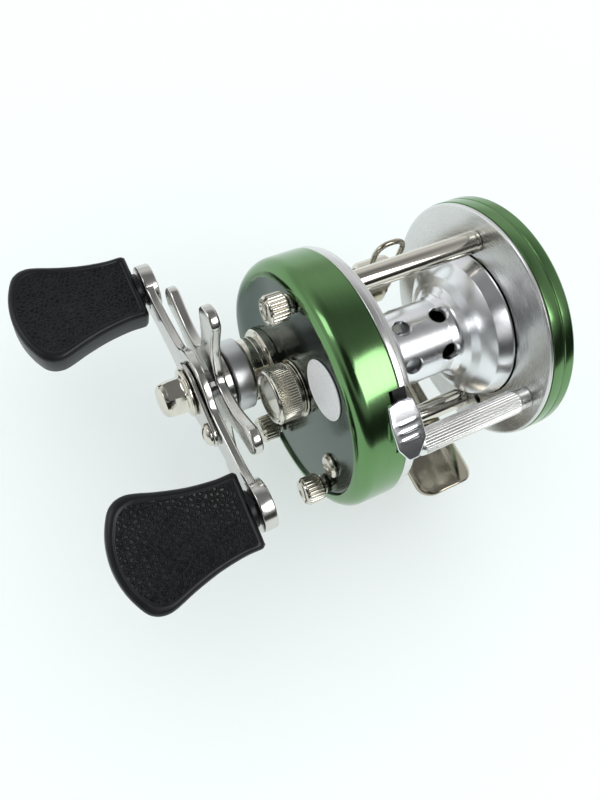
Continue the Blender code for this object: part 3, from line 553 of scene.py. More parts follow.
def bars():
    for node, yz in (("top_pillar", TOP_BAR), ("front_pillar", FRONT_BAR), ("rear_pillar", REAR_BAR)):
        outline = [
            (31.0, 0),
            (31.0, 2.05, 0.1),
            (30.75, 2.35, 0.15),
            (30.0, 2.35, 0.05),
            (29.9, 2.28, 0.05),
            (29.75, 2.28, 0.05),
            (29.65, 2.35, 0.05),
            (0.4, 2.35, 0.15),
            (0.1, 2.05, 0.1),
            (0.1, 0),
        ]
        bar = lathe(node + "_bar", rounded(outline, 0.1), yz, NICKEL, 96)
        show(bar, node, "frame")
    neck, body = 2.3, 2.6
    outline = [(31.0, 0), (31.0, neck, 0.1), (28.6, neck, 0.1), (28.35, body - 0.1, 0.1), (27.9, body, 0.1)]
    outline += [(27.7, body), (27.4, body), (4.8, body), (4.5, body), (4.3, body, 0.1)]
    outline += [(3.85, body - 0.1, 0.1), (3.6, neck, 0.1), (0.1, neck, 0.1), (0.1, 0)]
    flutes = 26

    def fluted(angle, x, radius):
        depth = smoothstep(4.3, 4.8, x) * smoothstep(27.9, 27.4, x)
        wave = abs(math.sin(angle * flutes / 2)) ** 0.5
        return x, radius - 0.36 * depth * (1 - wave) * (radius > 2.35)

    bar = lathe("thumb_rest_bar", rounded(outline, 0.1), THUMB_BAR, BRIGHT_BAR, flutes * 10, shape_of=fluted)
    show(bar, "thumb_rest_pillar", "frame")


def foot():
    """The stamped foot: a rounded strip, arched across its width."""
    half, thick, corner, ease = 7.15, 1.2, 3.6, 0.28
    straight = FOOT_HALF_LENGTH - corner
    stations = [corner * (1 - math.cos(math.radians(a))) - FOOT_HALF_LENGTH for a in range(0, 91, 9)]
    stations += [straight * (i / 12 - 1) for i in range(1, 24)]
    stations += [-v for v in reversed(stations[:11])]
    shape = bmesh.new()
    rows = []
    top = (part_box("reel_foot")[1].z - ORIGIN.z) / MM
    for v in stations:
        past = max(0.0, abs(v) - straight)
        wide = half - corner + math.sqrt(max(0.0, corner**2 - past**2))
        loop = []
        for i in range(25):
            s = -1 + 2 * i / 24
            u = s * wide
            edge = max(0.0, 1 - (wide - abs(u)) / ease)
            end = max(0.0, 1 - (FOOT_HALF_LENGTH - abs(v)) / ease)
            loop.append((u, top - drop(u, half) - ease * (max(edge, end) ** 2)))
        for i in range(25):
            s = 1 - 2 * i / 24
            u = s * wide
            edge = max(0.0, 1 - (wide - abs(u)) / ease)
            loop.append((u, top - thick - drop(u, half) + ease * edge**2))
        rows.append([shape.verts.new(put(FOOT_X + u, v, z)) for u, z in loop])
    for row, following in zip(rows, rows[1:]):
        for i in range(50):
            j = (i + 1) % 50
            shape.faces.new((row[i], following[i], following[j], row[j]))
    for row in (rows[0], rows[-1]):
        for i in range(24):
            shape.faces.new((row[i], row[i + 1], row[48 - i], row[49 - i]))
    piece = finish_mesh("foot_plate", shape, NICKEL_FOOT, 50.0)
    show(piece, "reel_foot", "frame")


def drop(u, half):
    """How far the foot's arch has fallen at u from its middle."""
    return 2.0 * max(0.0, (u / half) ** 2 - 0.09)


def gear_cover():
    """The turned gear cover, swollen on the drive side: two profiles blended round the axis."""
    outline, hump = [(-2.95, 26.6), (-9.2, 26.6)], [(-2.95, 26.6), (-9.8, 26.6)]
    for degrees in (12, 24, 36, 48, 60, 72, 84):
        across, up = polar(1.0, math.radians(degrees + 90))
        outline.append((-9.2 + 3.0 * across, 23.6 + 3.0 * up))
        hump.append((-11.2 + 2.25 * across, 24.3 + 2.3 * up))
    outline += [(-12.2, 23.45), (-12.05, 23.32), (-11.75, 23.22), (-11.6, 23.1), (-11.6, 22.0), (-11.6, 20.8)]
    hump += [(-13.45, 24.2), (-13.45, 23.9), (-13.44, 23.5), (-13.42, 23.1), (-13.3, 22.0), (-13.1, 20.8)]
    outline += [(-11.6, 19.6), (-11.6, 17.6), (-11.6, 15.2)]
    hump += [(-12.85, 19.6), (-12.4, 17.6), (-11.9, 15.2)]
    inside = [(-11.6, 12.0), (-11.6, 4.95), (-10.4, 4.95), (-10.4, 21.6), (-9.2, 25.4), (-2.95, 25.4)]
    steps = 256
    shape = bmesh.new()
    rows = []
    for number in range(steps):
        angle = 2 * math.pi * number / steps
        off = abs((angle + math.radians(18) + math.pi) % (2 * math.pi) - math.pi) / math.radians(56)
        share = math.cos(min(off, 1.0) * math.pi / 2) ** 2
        profile = [
            (a[0] + (b[0] - a[0]) * share, a[1] + (b[1] - a[1]) * share) for a, b in zip(outline, hump)
        ]
        rows.append([shape.verts.new(put(x, *polar(r, angle))) for x, r in profile + inside])
    count = len(rows[0])
    for number in range(steps):
        row, following = rows[number], rows[(number + 1) % steps]
        for i in range(count):
            j = (i + 1) % count
            shape.faces.new((row[i], following[i], following[j], row[j]))
    cover = finish_mesh("gear_cover", shape, GREEN, 42.0)
    lip = hole_tool(-11.6, -14.6, 8.3, DRIVE_AXIS, 96)
    combine(cover, lip)
    # The notch's cut faces take the cutter's black, as painted shade.
    combine(cover, notch_tool(), blend="TRANSFER")
    tools = [hole_tool(-3, -13.6, 7.0, DRIVE_AXIS, 64), hole_tool(-3, -13.6, 1.5, OIL_PORT, 24)]
    tools += [hole_tool(-3, -13.6, 1.4, yz, 24) for yz in SCREWS.values()]
    show(combine(cover, merged(tools)), "gear_side_cover", "frame")


def palm_cover():
    outline = [
        (41.0, 0),
        (41.0, 17.0, 1.5),
        (40.2, 20.4, 2.0),
        (38.0, 23.8, 0.4),
        (37.65, 24.5, 0.2),
        (37.6, 25.4, 0.6),
        (37.2, 26.2, 0.5),
        (36.7, 26.6, 0.4),
        (34.75, 26.6, 0.1),
        (34.6, 26.36, 0.06),
        (34.45, 26.36, 0.06),
        (34.3, 26.6, 0.1),
        (31.9, 26.6, 0.1),
        (31.9, 25.4),
        (36.2, 25.4),
        (36.8, 22.4),
        (39.5, 17.0),
        (39.5, 5.6),
        (35.4, 5.6),
        (35.4, 4.0),
        (38.4, 4.0),
        (38.4, 0),
    ]
    cover = lathe("palm_cover", rounded(outline, 0.15), SPOOL_AXIS, GREEN, 240)
    show(cover, "palm_side_cover", "frame")


def spool():
    half = [
        (12.4, 11.0, 0.8),
        (15.2, 13.2, 0.3),
        (15.35, 16.5, 0.1),
        (14.9, 16.5, 0.1),
        (11.95, 15.4, 0.2),
        (10.7, 13.6, 2.5),
        (9.95, 12.3, 1.2),
        (9.2, 10.3, 1.6),
        (8.0, 8.75, 1.6),
        (6.2, 8.3, 1.8),
    ]
    outer = [(SPOOL_MID + p[0], *p[1:]) for p in half] + [(SPOOL_MID - p[0], *p[1:]) for p in reversed(half)]
    inner = [(-8.2, 7.2), (-1.0, 7.2), (-1.0, 3.0), (-9.0, 3.0), (-9.0, 1.6)]
    inner = [(SPOOL_MID + x, r) for x, r in inner] + [(SPOOL_MID - x, r) for x, r in reversed(inner)]
    profile = rounded(outer + inner, 0.1, True, 5)
    body = lathe("line_spool", profile, SPOOL_AXIS, BRIGHT, 216, True, smooth=30.0)
    tools = []
    for x in (11.8, 20.8):
        for number in range(6):
            angle = math.radians(84 + 60 * number)
            outward = Vector((0, *polar(1, angle)))
            side = Vector((1, 0, 0)).cross(outward)
            axes = Matrix((side, outward.cross(side), outward)).transposed().to_4x4()
            place = Matrix.Translation(put(x, 0, 0)) @ axes
            outline = [(6.4, 0), (6.4, 1.9), (8.02, 1.9), (8.5, 2.35), (9.4, 2.35), (9.4, 0)]
            tools.append(lathe("bore", outline, None, None, 40, axis=place))
    show(combine(body, merged(tools)), "spool", "spool")


def cast_control():
    """The spool tension cap: finely knurled, with a dished front and a turned rim."""
    back, front = -12.2, -18.0
    outline = [
        (front + 1.9, 0),
        (front + 1.9, 5.0),
        (back, 5.0),
        (back, 5.55, 0.1),
        (back - 0.55, 5.6, 0.05),
        (back - 0.65, 5.45, 0.05),
        (back - 0.8, 5.45, 0.05),
        (back - 0.95, 5.9, 0.05),
        (back - 1.1, 5.92),
        (front + 0.8, 5.92),
        (front + 0.62, 5.9, 0.05),
        (front + 0.5, 5.62, 0.1),
        (front + 0.1, 5.5, 0.2),
        (front, 5.1, 0.15),
        (front + 0.1, 4.75, 0.15),
        (front + 0.45, 4.45, 0.15),
        (front + 0.75, 3.6, 1.0),
        (front + 0.9, 1.2, 1.0),
        (front + 0.9, 0),
    ]
    ribs = 66

    def knurled(angle, x, radius):
        deep = smoothstep(back - 0.95, back - 1.15, x) * smoothstep(front + 0.6, front + 0.8, x)
        return x, radius - 0.30 * deep * (radius > 5.8) * (1 - abs(math.sin(angle * ribs / 2)) ** 0.8)

    cap = lathe("tension_cap", rounded(outline, 0.1), SPOOL_AXIS, NICKEL_SPOOL, ribs * 8, shape_of=knurled)
    show(cap, "cast_control_cap", "cast_control")


def thumb_screws():
    """Hand screws with straight ribs, a dished front and a driver slot."""
    ribs = 20
    for name, yz in SCREWS.items():
        neck = -11.9
        outline = [
            (-1.2, 0),
            (-1.2, 0.9),
            (-1.5, 1.1),
            (neck, 1.1),
            (neck, 2.0, 0.1),
            (neck - 0.4, 2.0, 0.05),
            (neck - 0.5, 1.8, 0.05),
            (neck - 0.7, 1.8, 0.05),
            (neck - 0.8, 2.0, 0.05),
            (neck - 1.1, 2.1, 0.05),
            (neck - 1.25, 2.7, 0.1),
            (neck - 1.45, 2.95),
            (neck - 1.6, 2.98),
            (neck - 4.5, 2.98),
            (neck - 4.65, 2.95),
            (neck - 4.85, 2.75, 0.1),
            (neck - 5.2, 2.6, 0.15),
            (neck - 5.2, 2.2, 0.15),
            (neck - 4.9, 1.9, 0.2),
            (neck - 4.8, 0),
        ]

        def ribbed(angle, x, radius, neck=neck):
            deep = smoothstep(neck - 1.3, neck - 1.6, x) * smoothstep(neck - 4.85, neck - 4.55, x)
            wave = abs(math.sin(angle * ribs / 2)) ** 0.7
            return x, radius - 0.34 * deep * (radius > 2.8) * (1 - wave)

        material = metal(f"nickel_screw_{name}", NICKEL_LIGHT, NICKEL_DARK, 0.12, "turned", axis=yz)
        screw = lathe(f"hand_screw_{name}", rounded(outline, 0.1), yz, material, ribs * 12, shape_of=ribbed)
        slot = [(-3.4, -0.35), (3.4, -0.35), (3.4, 0.35), (-3.4, 0.35)]
        tilt = {"top": 1.15, "rear": 0.6, "front": 2.1}[name]
        tool = slab("slot", [slot], neck - 4.45, neck - 6, None, yz, tilt, edge=0.04, parts=1)
        show(combine(screw, tool), f"thumb_screw_{name}", f"screw_{name}")


def face_fittings():
    x = -11.7
    port = [
        (-10.4, 0),
        (-10.4, 1.4),
        (x, 1.4),
        (x, 2.6, 0.1),
        (x - 0.45, 2.55, 0.2),
        (x - 0.95, 2.0, 0.35),
        (x - 1.0, 1.0, 0.3),
        (x - 0.85, 0),
    ]
    cap = lathe("oil_cap", rounded(port, 0.15), OIL_PORT, NICKEL_ANY, 64)
    slot = [(-3, -0.28), (3, -0.28), (3, 0.28), (-3, 0.28)]
    tool = slab("slot", [slot], x - 0.55, x - 2, None, OIL_PORT, 2.2, edge=0.04, parts=1)
    show(combine(cap, tool), "oil_port_cap", "frame")
    rim = [(x, 0), (x, 6.05, 0.05), (x - 0.22, 6.1, 0.08), (x - 0.3, 5.95, 0.05), (x - 0.3, 5.6, 0.03)]
    rim += [(x - 0.24, 5.55, 0.03), (x - 0.24, 5.35, 0.03), (x - 0.28, 5.3, 0.03), (x - 0.3, 0)]
    badge = lathe("plain_badge", rounded(rim, 0.05), BADGE, BADGE_PLASTIC, 96)
    show(badge, "blank_badge", "frame")
    sleeve = [
        (-9.9, 3.3),
        (-9.9, 6.8),
        (x, 6.8),
        (x, 8.2, 0.1),
        (-13.35, 8.2, 0.15),
        (-13.75, 7.8, 0.2),
        (-13.8, 7.2, 0.2),
        (-14.0, 6.9, 0.1),
        (-15.0, 6.9, 0.05),
        (-15.08, 6.82, 0.03),
        (-15.2, 6.82, 0.03),
        (-15.28, 6.9, 0.05),
        (-17.4, 6.9, 0.1),
        (-17.75, 6.6, 0.15),
        (-17.8, 3.3, 0.1),
    ]
    sleeve = lathe("drive_housing", rounded(sleeve, 0.1, True), DRIVE_AXIS, NICKEL_DRIVE, 128, True)
    combine(sleeve, hole_tool(-11.6, -15, 6.5, SPOOL_AXIS, 96))
    show(sleeve, "drive_sleeve", "frame")
    barrel = [(-10.2, 3.4), (-10.2, 4.6), (x, 4.6), (x, 6.15), (-12.0, 6.15), (-12.0, 4.6), (-14.4, 4.6)]
    barrel += [(-14.4, 3.4)]
    piece = lathe("tension_seat", rounded(barrel, 0.08, True), SPOOL_AXIS, NICKEL_SPOOL, 96, True)
    show(piece, "tension_barrel", "frame")


def clutch_button():
    """The chrome button on the rim, bent to the rim's curve, with plain grip ribs."""
    trim = [(-2.9, 5.2), (-0.5, 5.75), (2.4, 5.2), (3.05, 2.4), (3.3, -2.4), (1.1, -5.4)]
    trim += [(-1.1, -5.4), (-2.8, -3.0), (-3.2, 1.4)]
    outline = rounded(trim, 0.8, True, 5)
    middle = math.radians(140.5)
    button = slab("button_flat", [outline], 0.55, -0.55, None, edge=0.3, parts=3)
    shape = bmesh.new()
    shape.from_mesh(button.data)
    bpy.data.objects.remove(button)
    back = put(0, 0, 0)
    for v in shape.verts:
        offset = (v.co - back) / MM
        v.co = Vector((offset.y, offset.z, offset.x))
    low = -5.6
    while low < 5.8:
        geometry = shape.verts[:] + shape.edges[:] + shape.faces[:]
        bmesh.ops.bisect_plane(shape, geom=geometry, plane_co=(0, low, 0), plane_no=(0, 1, 0))
        low += 0.18
    for u in (-1.9, -1.6, 1.6, 1.9):
        geometry = shape.verts[:] + shape.edges[:] + shape.faces[:]
        bmesh.ops.bisect_plane(shape, geom=geometry, plane_co=(u, 0, 0), plane_no=(1, 0, 0))
    outward = Vector((0, *polar(1, middle)))
    across = outward.cross(Vector((1, 0, 0)))
    for v in shape.verts:
        u, w, out = v.co
        out += 0.0099 * w * w - 0.24 * w
        if v.co.z > 0.5 and abs(u) < 1.85:
            for rib in (-1.5, 0.0, 1.5):
                out += 0.15 * math.exp(-(((w - rib) / 0.26) ** 2)) * smoothstep(1.95, 1.5, abs(u))
        radius = 27.45 + out
        angle = w / 27.6
        spot = outward * (radius * math.cos(angle)) + across * (radius * math.sin(angle))
        v.co = put(-3.0 + u, spot.y, spot.z)
    piece = finish_mesh("rim_button", shape, CHROME, 50.0)
    outline = arc((0, 0), 27.1, 134.5, 145.0, 16) + arc((0, 0), 23.9, 145.0, 134.5, 16)
    stem = slab("stem", [outline], -1.4, -4.4, CHROME, edge=0.15)
    show(combine(piece, stem, "UNION"), "clutch_button", "clutch")


def star_wheel():
    outline = []
    for number in range(5):
        turn = STAR_TURN + math.radians(72 * number)
        tip = arc((20.3, 0), 3.2, -82, 82, 9)
        spoke = [(7.4, -4.7), (8.6, -3.9), (11.0, -3.1), (14.0, -2.6), (17.3, -2.75)]
        spoke += tip + [(u, -v) for u, v in reversed(spoke)]
        for u, v in spoke:
            outline.append(polar(math.hypot(u, v), turn + math.atan2(v, u)))
    outline = curved(outline, 3)
    star = slab("star_plate", [outline], -24.0, -26.2, NICKEL_PLATE, DRIVE_AXIS, edge=0.55, parts=4)
    hub = [(-22.2, 0), (-22.2, 6.8, 0.2), (-22.4, 7.0, 0.1), (-24.4, 7.0), (-24.4, 0)]
    combine(star, lathe("hub", rounded(hub, 0.1), DRIVE_AXIS, NICKEL_PLATE, 96), "UNION")
    show(combine(star, hole_tool(-20, -28, 3.3, DRIVE_AXIS)), "star_drag", "star")


def handle():
    collar = [(-18.0, 3.3), (-18.0, 7.5, 0.2), (-18.25, 7.8, 0.2)]
    collar += [(-21.7, 7.8, 0.2), (-22.0, 7.5, 0.2), (-22.0, 3.3)]
    piece = lathe("matte_collar", rounded(collar, 0.1, True), DRIVE_AXIS, SATIN_DRIVE, 128, True)
    show(piece, "drag_collar", "handle")
    half = [(7.6, -4.75), (9.6, -4.15), (13.0, -3.75), (17.0, -3.5), (21.5, -3.4), (24.2, -3.75)]
    half += arc((KNOB_REACH, 0), 5.0, -118, 118, 15)
    half += [(24.2, 3.75), (21.5, 3.4), (17.0, 3.5), (13.0, 3.75), (9.6, 4.15), (7.6, 4.75)]
    half += arc((0, 0), 8.95, 42, 138, 9)
    outline = []
    for side in (0, math.pi):
        outline += [polar(math.hypot(u, v), side + math.atan2(v, u)) for u, v in half]
    arm = slab("arm_plate", [outline], -27.5, -29.3, NICKEL_PLATE, DRIVE_AXIS, ARM_ANGLE, 0.4, 4)
    for side in (1, -1):
        yz = on_arm(side * KNOB_REACH)
        boss = [(-26.4, 0), (-26.4, 5.3, 0.35), (-29.4, 5.3, 0.3), (-29.4, 0)]
        combine(arm, lathe("boss", rounded(boss, 0.3), yz, NICKEL_PLATE, 96), "UNION")
    tools = [hole_tool(-26, -31, 2.7, DRIVE_AXIS), hole_tool(-26, -31, 1.1, on_arm(RETAINER_REACH))]
    tools += [hole_tool(-25, -31, 1.7, on_arm(side * KNOB_REACH)) for side in (1, -1)]
    show(combine(arm, merged(tools)), "handle_arm", "handle")
    nut_and_retainer()
    for number, side in ((1, 1), (2, -1)):
        yz = on_arm(side * KNOB_REACH)
        spindle = [(-26.7, 0), (-26.7, 1.4, 0.1), (-26.95, 1.6, 0.1)]
        spindle += [(-51.8, 1.6, 0.1), (-52.0, 1.4), (-52.0, 0)]
        piece = lathe(f"knob_pin_{number}", rounded(spindle, 0.08), yz, STEEL, 64)
        show(piece, f"knob_spindle_{number}", "handle")


def nut_and_retainer():
    sides = 6
    nut = [
        (-34.9, 0),
        (-34.9, 2.7),
        (-30.6, 2.7),
        (-30.6, 4.9, 0.1),
        (-30.75, 5.25, 0.15),
        (-31.25, 5.3, 0.2),
        (-31.5, 4.6, 0.3),
        (-31.9, 4.45, 0.2),
        (-32.4, 4.5),
        (-34.2, 4.5, 0.5),
        (-35.4, 4.2, 0.5),
        (-36.2, 3.6, 0.6),
        (-36.85, 2.6, 0.6),
        (-37.1, 1.2, 0.6),
        (-37.1, 0),
    ]

    def faceted(angle, x, radius):
        share = smoothstep(-31.5, -32.2, x) * smoothstep(-36.6, -34.6, x)
        if radius < 3.0:
            return x, radius
        step = 2 * math.pi / sides
        flat = math.cos(step / 2) / math.cos((angle % step) - step / 2)
        return x, radius * (1 + (min(flat, 1.09) - 1.07) * share)

    profile = rounded(nut, 0.15)
    piece = lathe("cap_nut", profile, DRIVE_AXIS, NICKEL_DRIVE, sides * 16, shape_of=faceted, smooth=30.0)
    show(piece, "handle_nut", "handle")
    outline = arc((0, 0), 6.45, -118, 118, 33) + arc((RETAINER_REACH, 0), 2.85, 112, 248, 17)
    plate = slab("nut_lock", [outline], -29.6, -30.4, NICKEL_PLATE, DRIVE_AXIS, ARM_ANGLE, 0.22, 3)
    tools = [hole_tool(-29, -31, 2.7, DRIVE_AXIS), hole_tool(-29, -31, 1.2, on_arm(RETAINER_REACH), 32)]
    show(combine(plate, merged(tools)), "nut_retainer", "handle")
    head = [(-27.7, 0), (-27.7, 1.0), (-30.5, 1.0), (-30.5, 2.45, 0.15)]
    head += [(-31.0, 2.4, 0.4), (-31.65, 1.7, 0.6), (-31.9, 0.7, 0.4), (-31.9, 0)]
    yz = on_arm(RETAINER_REACH)
    screw = lathe("lock_screw", rounded(head, 0.2), yz, NICKEL_ANY, 64)
    slot = [(-3, -0.3), (3, -0.3), (3, 0.3), (-3, 0.3)]
    tool = slab("slot", [slot], -31.25, -33, None, yz, 1.0, edge=0.04, parts=1)
    show(combine(screw, tool), "retainer_screw", "handle")


def knobs():
    """Flat paddles: a smooth raised border round a pebbled panel on both faces."""
    side = [(0, 0), (6.6, 0), (7.25, 0.1), (7.68, 0.5), (7.8, 1.2), (7.8, 4.5), (8.5, 9.8), (9.8, 15.0)]
    side += [(11.1, 19.0), (11.45, 21.2), (10.9, 23.3), (9.2, 25.0), (5.0, 26.8), (0, 27.5)]
    outline = curved(side + [(-u, v) for u, v in reversed(side[1:-1])], 6)
    for number, reach in ((1, KNOB_REACH), (2, -KNOB_REACH)):
        yz = on_arm(reach)
        body = knob_shell(number, outline, yz, math.radians(KNOB_ROLLS[number - 1]))
        hub = rounded([(-29.7, 0), (-29.7, 3.85, 0.25), (-30.9, 3.9), (-30.9, 0)], 0.1)
        combine(body, lathe("hub", hub, yz, BLACK, 64), "UNION")
        combine(body, hole_tool(-28, -52.6, 1.75, yz, 48))
        show(body, f"knob_{number}", ("front_knob", "rear_knob")[number - 1])


def inset(points, distance):
    """The paddle's outline drawn in towards its middle."""
    across, along = 1 - distance / PADDLE_HALF_WIDTH, 1 - distance / PADDLE_MIDDLE
    return [(u * across, PADDLE_MIDDLE + (v - PADDLE_MIDDLE) * along) for u, v in points]


def knob_shell(number, outline, yz, roll):
    """Loops of the outline stepped up each face: rounded edge, flat border, recess."""
    count = len(outline)
    steps = [(0.0, 2.4)]
    for degrees in (18, 36, 54, 72, 90):
        a = math.radians(degrees)
        steps.append((1.2 * (1 - math.cos(a)), 2.4 + 1.2 * math.sin(a)))
    steps += [(1.25, 3.6), (1.35, 3.58), (1.5, 3.46), (1.65, 3.42)]
    wide = Vector((0, *polar(1, roll)))
    out = Vector((-1, 0, 0))
    deep = wide.cross(out)
    base = put(-30.5, *yz)
    shape = bmesh.new()

    def loop(distance, height, sign):
        return [
            shape.verts.new(base + (wide * u + out * v + deep * (sign * height)) * MM)
            for u, v in inset(outline, distance)
        ]

    sides = {sign: [loop(distance, height, sign) for distance, height in steps] for sign in (1, -1)}
    for rows in sides.values():
        for row, following in zip(rows, rows[1:]):
            for i in range(count):
                j = (i + 1) % count
                shape.faces.new((row[i], row[j], following[j], following[i]))
    for i in range(count):
        j = (i + 1) % count
        shape.faces.new((sides[1][0][i], sides[1][0][j], sides[-1][0][j], sides[-1][0][i]))
    for rows in sides.values():
        panel = shape.faces.new(rows[-1])
        panel.material_index = 1
    obj = finish_mesh(f"paddle_{number}", shape, BLACK, 50.0)
    obj.data.materials.append(PEBBLES[number - 1])
    return obj


def level_wind():
    """The crossed-groove worm and its guard tube, the guide's bar, carriage and wire eye."""
    y, z = WORM_AXIS
    worm = [(33.6, 0), (33.6, 1.4), (33.5, 1.5)]
    worm += [(31.0 - 0.12 * i, 1.5) for i in range(259)]
    worm += [(-2.8, 1.5), (-2.9, 1.4), (-2.9, 1.1), (-4.5, 1.1), (-4.5, 0)]

    def grooved(angle, x, radius):
        if not 2.0 < x < 29.0 or radius < 1.4:
            return x, radius
        phase = (x - 2.0) / 27.0 * 2 * math.pi * 5
        near = []
        for hand in (1, -1):
            gap = (angle * hand - phase) % (2 * math.pi)
            near.append(min(gap, 2 * math.pi - gap))
        return x, radius - 0.42 * (1 - smoothstep(0.34, 0.62, min(near)))

    piece = lathe("worm_bar", worm, WORM_AXIS, WORM, 64, shape_of=grooved, smooth=60.0)
    show(piece, "worm_shaft", "worm")
    tube = rounded([(31.0, 1.75), (31.0, 2.5), (0.1, 2.5), (0.1, 1.75)], 0.12, True)
    tube = lathe("worm_guard", tube, WORM_AXIS, NICKEL, 96, True)
    slot = box_tool((2.5, y - 0.9, z - 4), (28.6, y + 0.9, z - 1))
    show(combine(tube, slot), "level_wind_tube", "frame")
    bar = rounded([(31.0, 0), (31.0, 1.2), (0.1, 1.2), (0.1, 0)], 0.15)
    show(lathe("guide_rod", bar, GUIDE_BAR, NICKEL, 48), "guide_bar", "frame")
    outline = [(16.6, -10.6), (23.3, -10.6), (23.3, -6.0)] + arc((19.95, -1.95), 3.35, 0, 180, 24)
    outline += [(16.6, -6.0)]
    body = slab("guide_carriage", [outline], 23.0, 14.0, NICKEL_ANY, edge=1.5, parts=6)
    combine(body, hole_tool(25, 12, 2.8, WORM_AXIS))
    combine(body, hole_tool(25, 12, 1.3, GUIDE_BAR, 32))
    combine(body, box_tool((13, 15.5, -7.2), (24, 18.4, -5.2), 0.1))
    upright = Matrix.Translation(put(18.5, y, 0))
    well = [(-3.5, 0), (-3.5, 1.15), (-12.5, 1.15), (-12.5, 0)]
    well = lathe("well", well, None, None, 32, axis=upright)
    show(combine(body, well), "line_guide", "guide")
    points = [(22.0, 18.2, 1.75), (22.0, 18.3, 5.0)]
    for i in range(33):
        across, up = polar(1.0, math.pi * i / 32)
        across = math.copysign(abs(across) ** 0.8, across)
        points.append((18.5 + 3.5 * across, 18.4 + 0.3 * up, 7.6 + 3.5 * up**0.8))
    points += [(15.0, 18.3, 5.0), (15.0, 18.2, 1.75)]
    show(wire("guide_eye", points, 0.62, NICKEL_FOOT), "line_eye", "guide")


def box_tool(low, high, edge=0.0):
    shape = bmesh.new()
    size = [(b - a) * MM for a, b in zip(low, high)]
    middle = put(*[(a + b) / 2 for a, b in zip(low, high)])
    place = Matrix.Translation(middle) @ Matrix.Diagonal((*size, 1.0))
    bmesh.ops.create_cube(shape, size=1.0, matrix=place)
    if edge:
        bmesh.ops.bevel(
            shape, geom=shape.edges[:], offset=edge * MM, segments=5, profile=0.5, affect="EDGES"
        )
    return finish_mesh("block", shape, None)


def wire(name, points, radius, material, sides=20):
    """A round wire swept along points of the reel's frame."""
    places = [put(*p) for p in points]
    shape = bmesh.new()
    rows = []
    normal = Vector((0, 1, 0))
    for i, place in enumerate(places):
        before, after = places[max(i - 1, 0)], places[min(i + 1, len(places) - 1)]
        along = (after - before).normalized()
        side = along.cross(normal).normalized()
        row = []
        for k in range(sides):
            across, up = polar(radius * MM, 2 * math.pi * k / sides)
            row.append(shape.verts.new(place + side * across + normal * up))
        rows.append(row)
    for row, following in zip(rows, rows[1:]):
        for k in range(sides):
            j = (k + 1) % sides
            shape.faces.new((row[k], row[j], following[j], following[k]))
    shape.faces.new(rows[0])
    shape.faces.new(rows[-1])
    return finish_mesh(name, shape, material, 60.0)


frame_plates()
bars()
foot()
gear_cover()
palm_cover()
spool()
cast_control()
thumb_screws()
face_fittings()
clutch_button()
star_wheel()
handle()
knobs()
level_wind()

# ---------------------------------------------------------------- floor, light and camera


def floor():
    t = Tree("pale_paper")
    fibre = t.noise(t.place, 900.0, 4.0, 0.6)
    cloud = t.noise(t.place, 3.0, 2.0, 0.5)
    paper = t.mix(t.spread(cloud, 0.3, 0.7, 0.0, 1.0), (0.885, 0.955, 0.96), (0.905, 0.965, 0.965))
    t.link(paper, t.shader.inputs["Base Color"])
    t.link(t.spread(fibre, 0.3, 0.7, 0.65, 0.8), t.shader.inputs["Roughness"])
    t.link(t.bump(fibre, 0.05, 0.00005), t.shader.inputs["Normal"])
    shape = bmesh.new()
    level = Matrix.Translation((0, 0, FLOOR_Z))
    bmesh.ops.create_grid(shape, x_segments=8, y_segments=8, size=4.0, matrix=level)
    piece = finish_mesh("floor", shape, t.material)


def light(name, place, size, power, colour=(1, 1, 1)):
    data = bpy.data.lights.new(name, "AREA")
    data.shape = "RECTANGLE"
    data.size, data.size_y = size
    data.energy = power
    data.color = colour
    obj = bpy.data.objects.new(name, data)
    obj.location = place
    obj.rotation_euler = (Vector(place) - Vector(LIGHT_AIM)).to_track_quat("Z", "Y").to_euler()
    obj.visible_diffuse = False
    bpy.context.scene.collection.objects.link(obj)


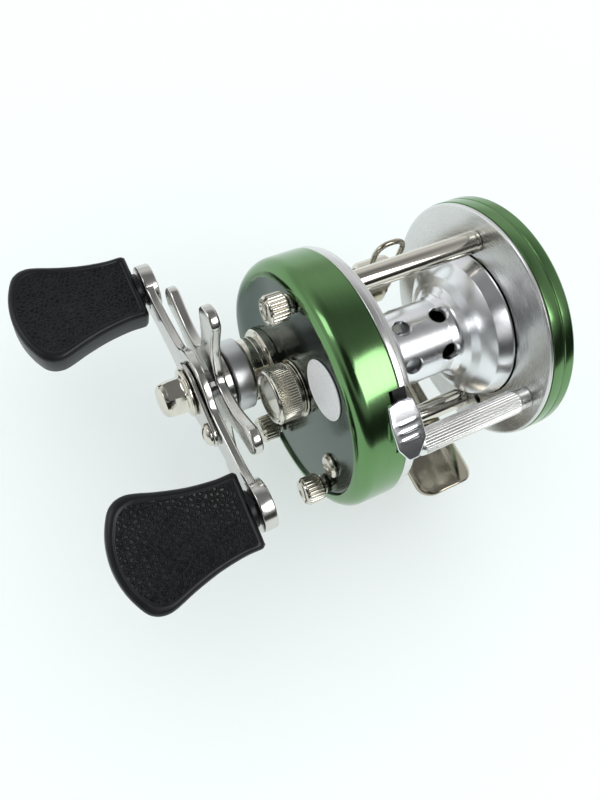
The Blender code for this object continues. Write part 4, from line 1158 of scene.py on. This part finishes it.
def studio():
    """A white tent that lights evenly. Reflections see it bright in front and dark behind,
    with one dark gap overhead."""
    world = bpy.data.worlds.new("soft_studio")
    world.use_nodes = True
    tree = world.node_tree
    nodes, links = tree.nodes, tree.links
    background = nodes["Background"]
    place = nodes.new("ShaderNodeTexCoord")
    parts = nodes.new("ShaderNodeSeparateXYZ")
    links.new(place.outputs["Generated"], parts.inputs[0])

    def ramp(stops):
        node = nodes.new("ShaderNodeValToRGB")
        links.new(parts.outputs[2], node.inputs[0])
        node.color_ramp.elements[0].position = stops[0][0]
        node.color_ramp.elements[1].position = stops[-1][0]
        for position, _ in stops[1:-1]:
            node.color_ramp.elements.new(position)
        for element, (_, value) in zip(node.color_ramp.elements, stops):
            element.color = (value, value * 1.01, value * 1.02, 1)
        return node.outputs[0]

    def ranged(source, low, high, to_low, to_high):
        node = nodes.new("ShaderNodeMapRange")
        links.new(source, node.inputs[0])
        for socket, value in zip(node.inputs[1:5], (low, high, to_low, to_high)):
            socket.default_value = value
        return node.outputs[0]

    def mixed(share, first, second):
        node = nodes.new("ShaderNodeMix")
        node.data_type = "RGBA"
        for socket, item in zip((node.inputs[0], node.inputs[6], node.inputs[7]), (share, first, second)):
            if isinstance(item, tuple):
                socket.default_value = item
            else:
                links.new(item, socket)
        return node.outputs[2]

    gap = nodes.new("ShaderNodeVectorMath")
    gap.operation = "DOT_PRODUCT"
    links.new(place.outputs["Generated"], gap.inputs[0])
    gap.inputs[1].default_value = GAP_AIM
    path = nodes.new("ShaderNodeLightPath")
    side = ranged(parts.outputs[1], -0.25, 0.25, 0.0, 1.0)
    seen = mixed(side, ramp(REAR_TENT), ramp(FRONT_TENT))
    seen = mixed(ranged(gap.outputs["Value"], 0.90, 0.955, 1.0, 0.06), (0, 0, 0, 1), seen)
    links.new(mixed(path.outputs["Is Glossy Ray"], TENT_LIGHT, seen), background.inputs[0])
    background.inputs[1].default_value = 1.0
    bpy.context.scene.world = world
    light("key", KEY_PLACE, KEY_SIZE, KEY_POWER)
    light("side", SIDE_PLACE, SIDE_SIZE, SIDE_POWER, (0.93, 0.97, 1.0))


def camera():
    data = bpy.data.cameras.new("camera")
    data.sensor_fit = "VERTICAL"
    data.sensor_height = 36.0
    data.lens = CAMERA_LENS
    data.clip_start = 0.001
    obj = bpy.data.objects.new("camera", data)
    right, ahead = Vector(CAMERA_RIGHT), Vector(CAMERA_AHEAD)
    turn = Matrix((right, right.cross(ahead), -ahead)).transposed()
    obj.matrix_world = Matrix.Translation(CAMERA_PLACE) @ turn.to_4x4()
    bpy.context.scene.collection.objects.link(obj)
    bpy.context.scene.camera = obj


floor()
studio()
camera()
bpy.context.scene.view_settings.view_transform = "Standard"
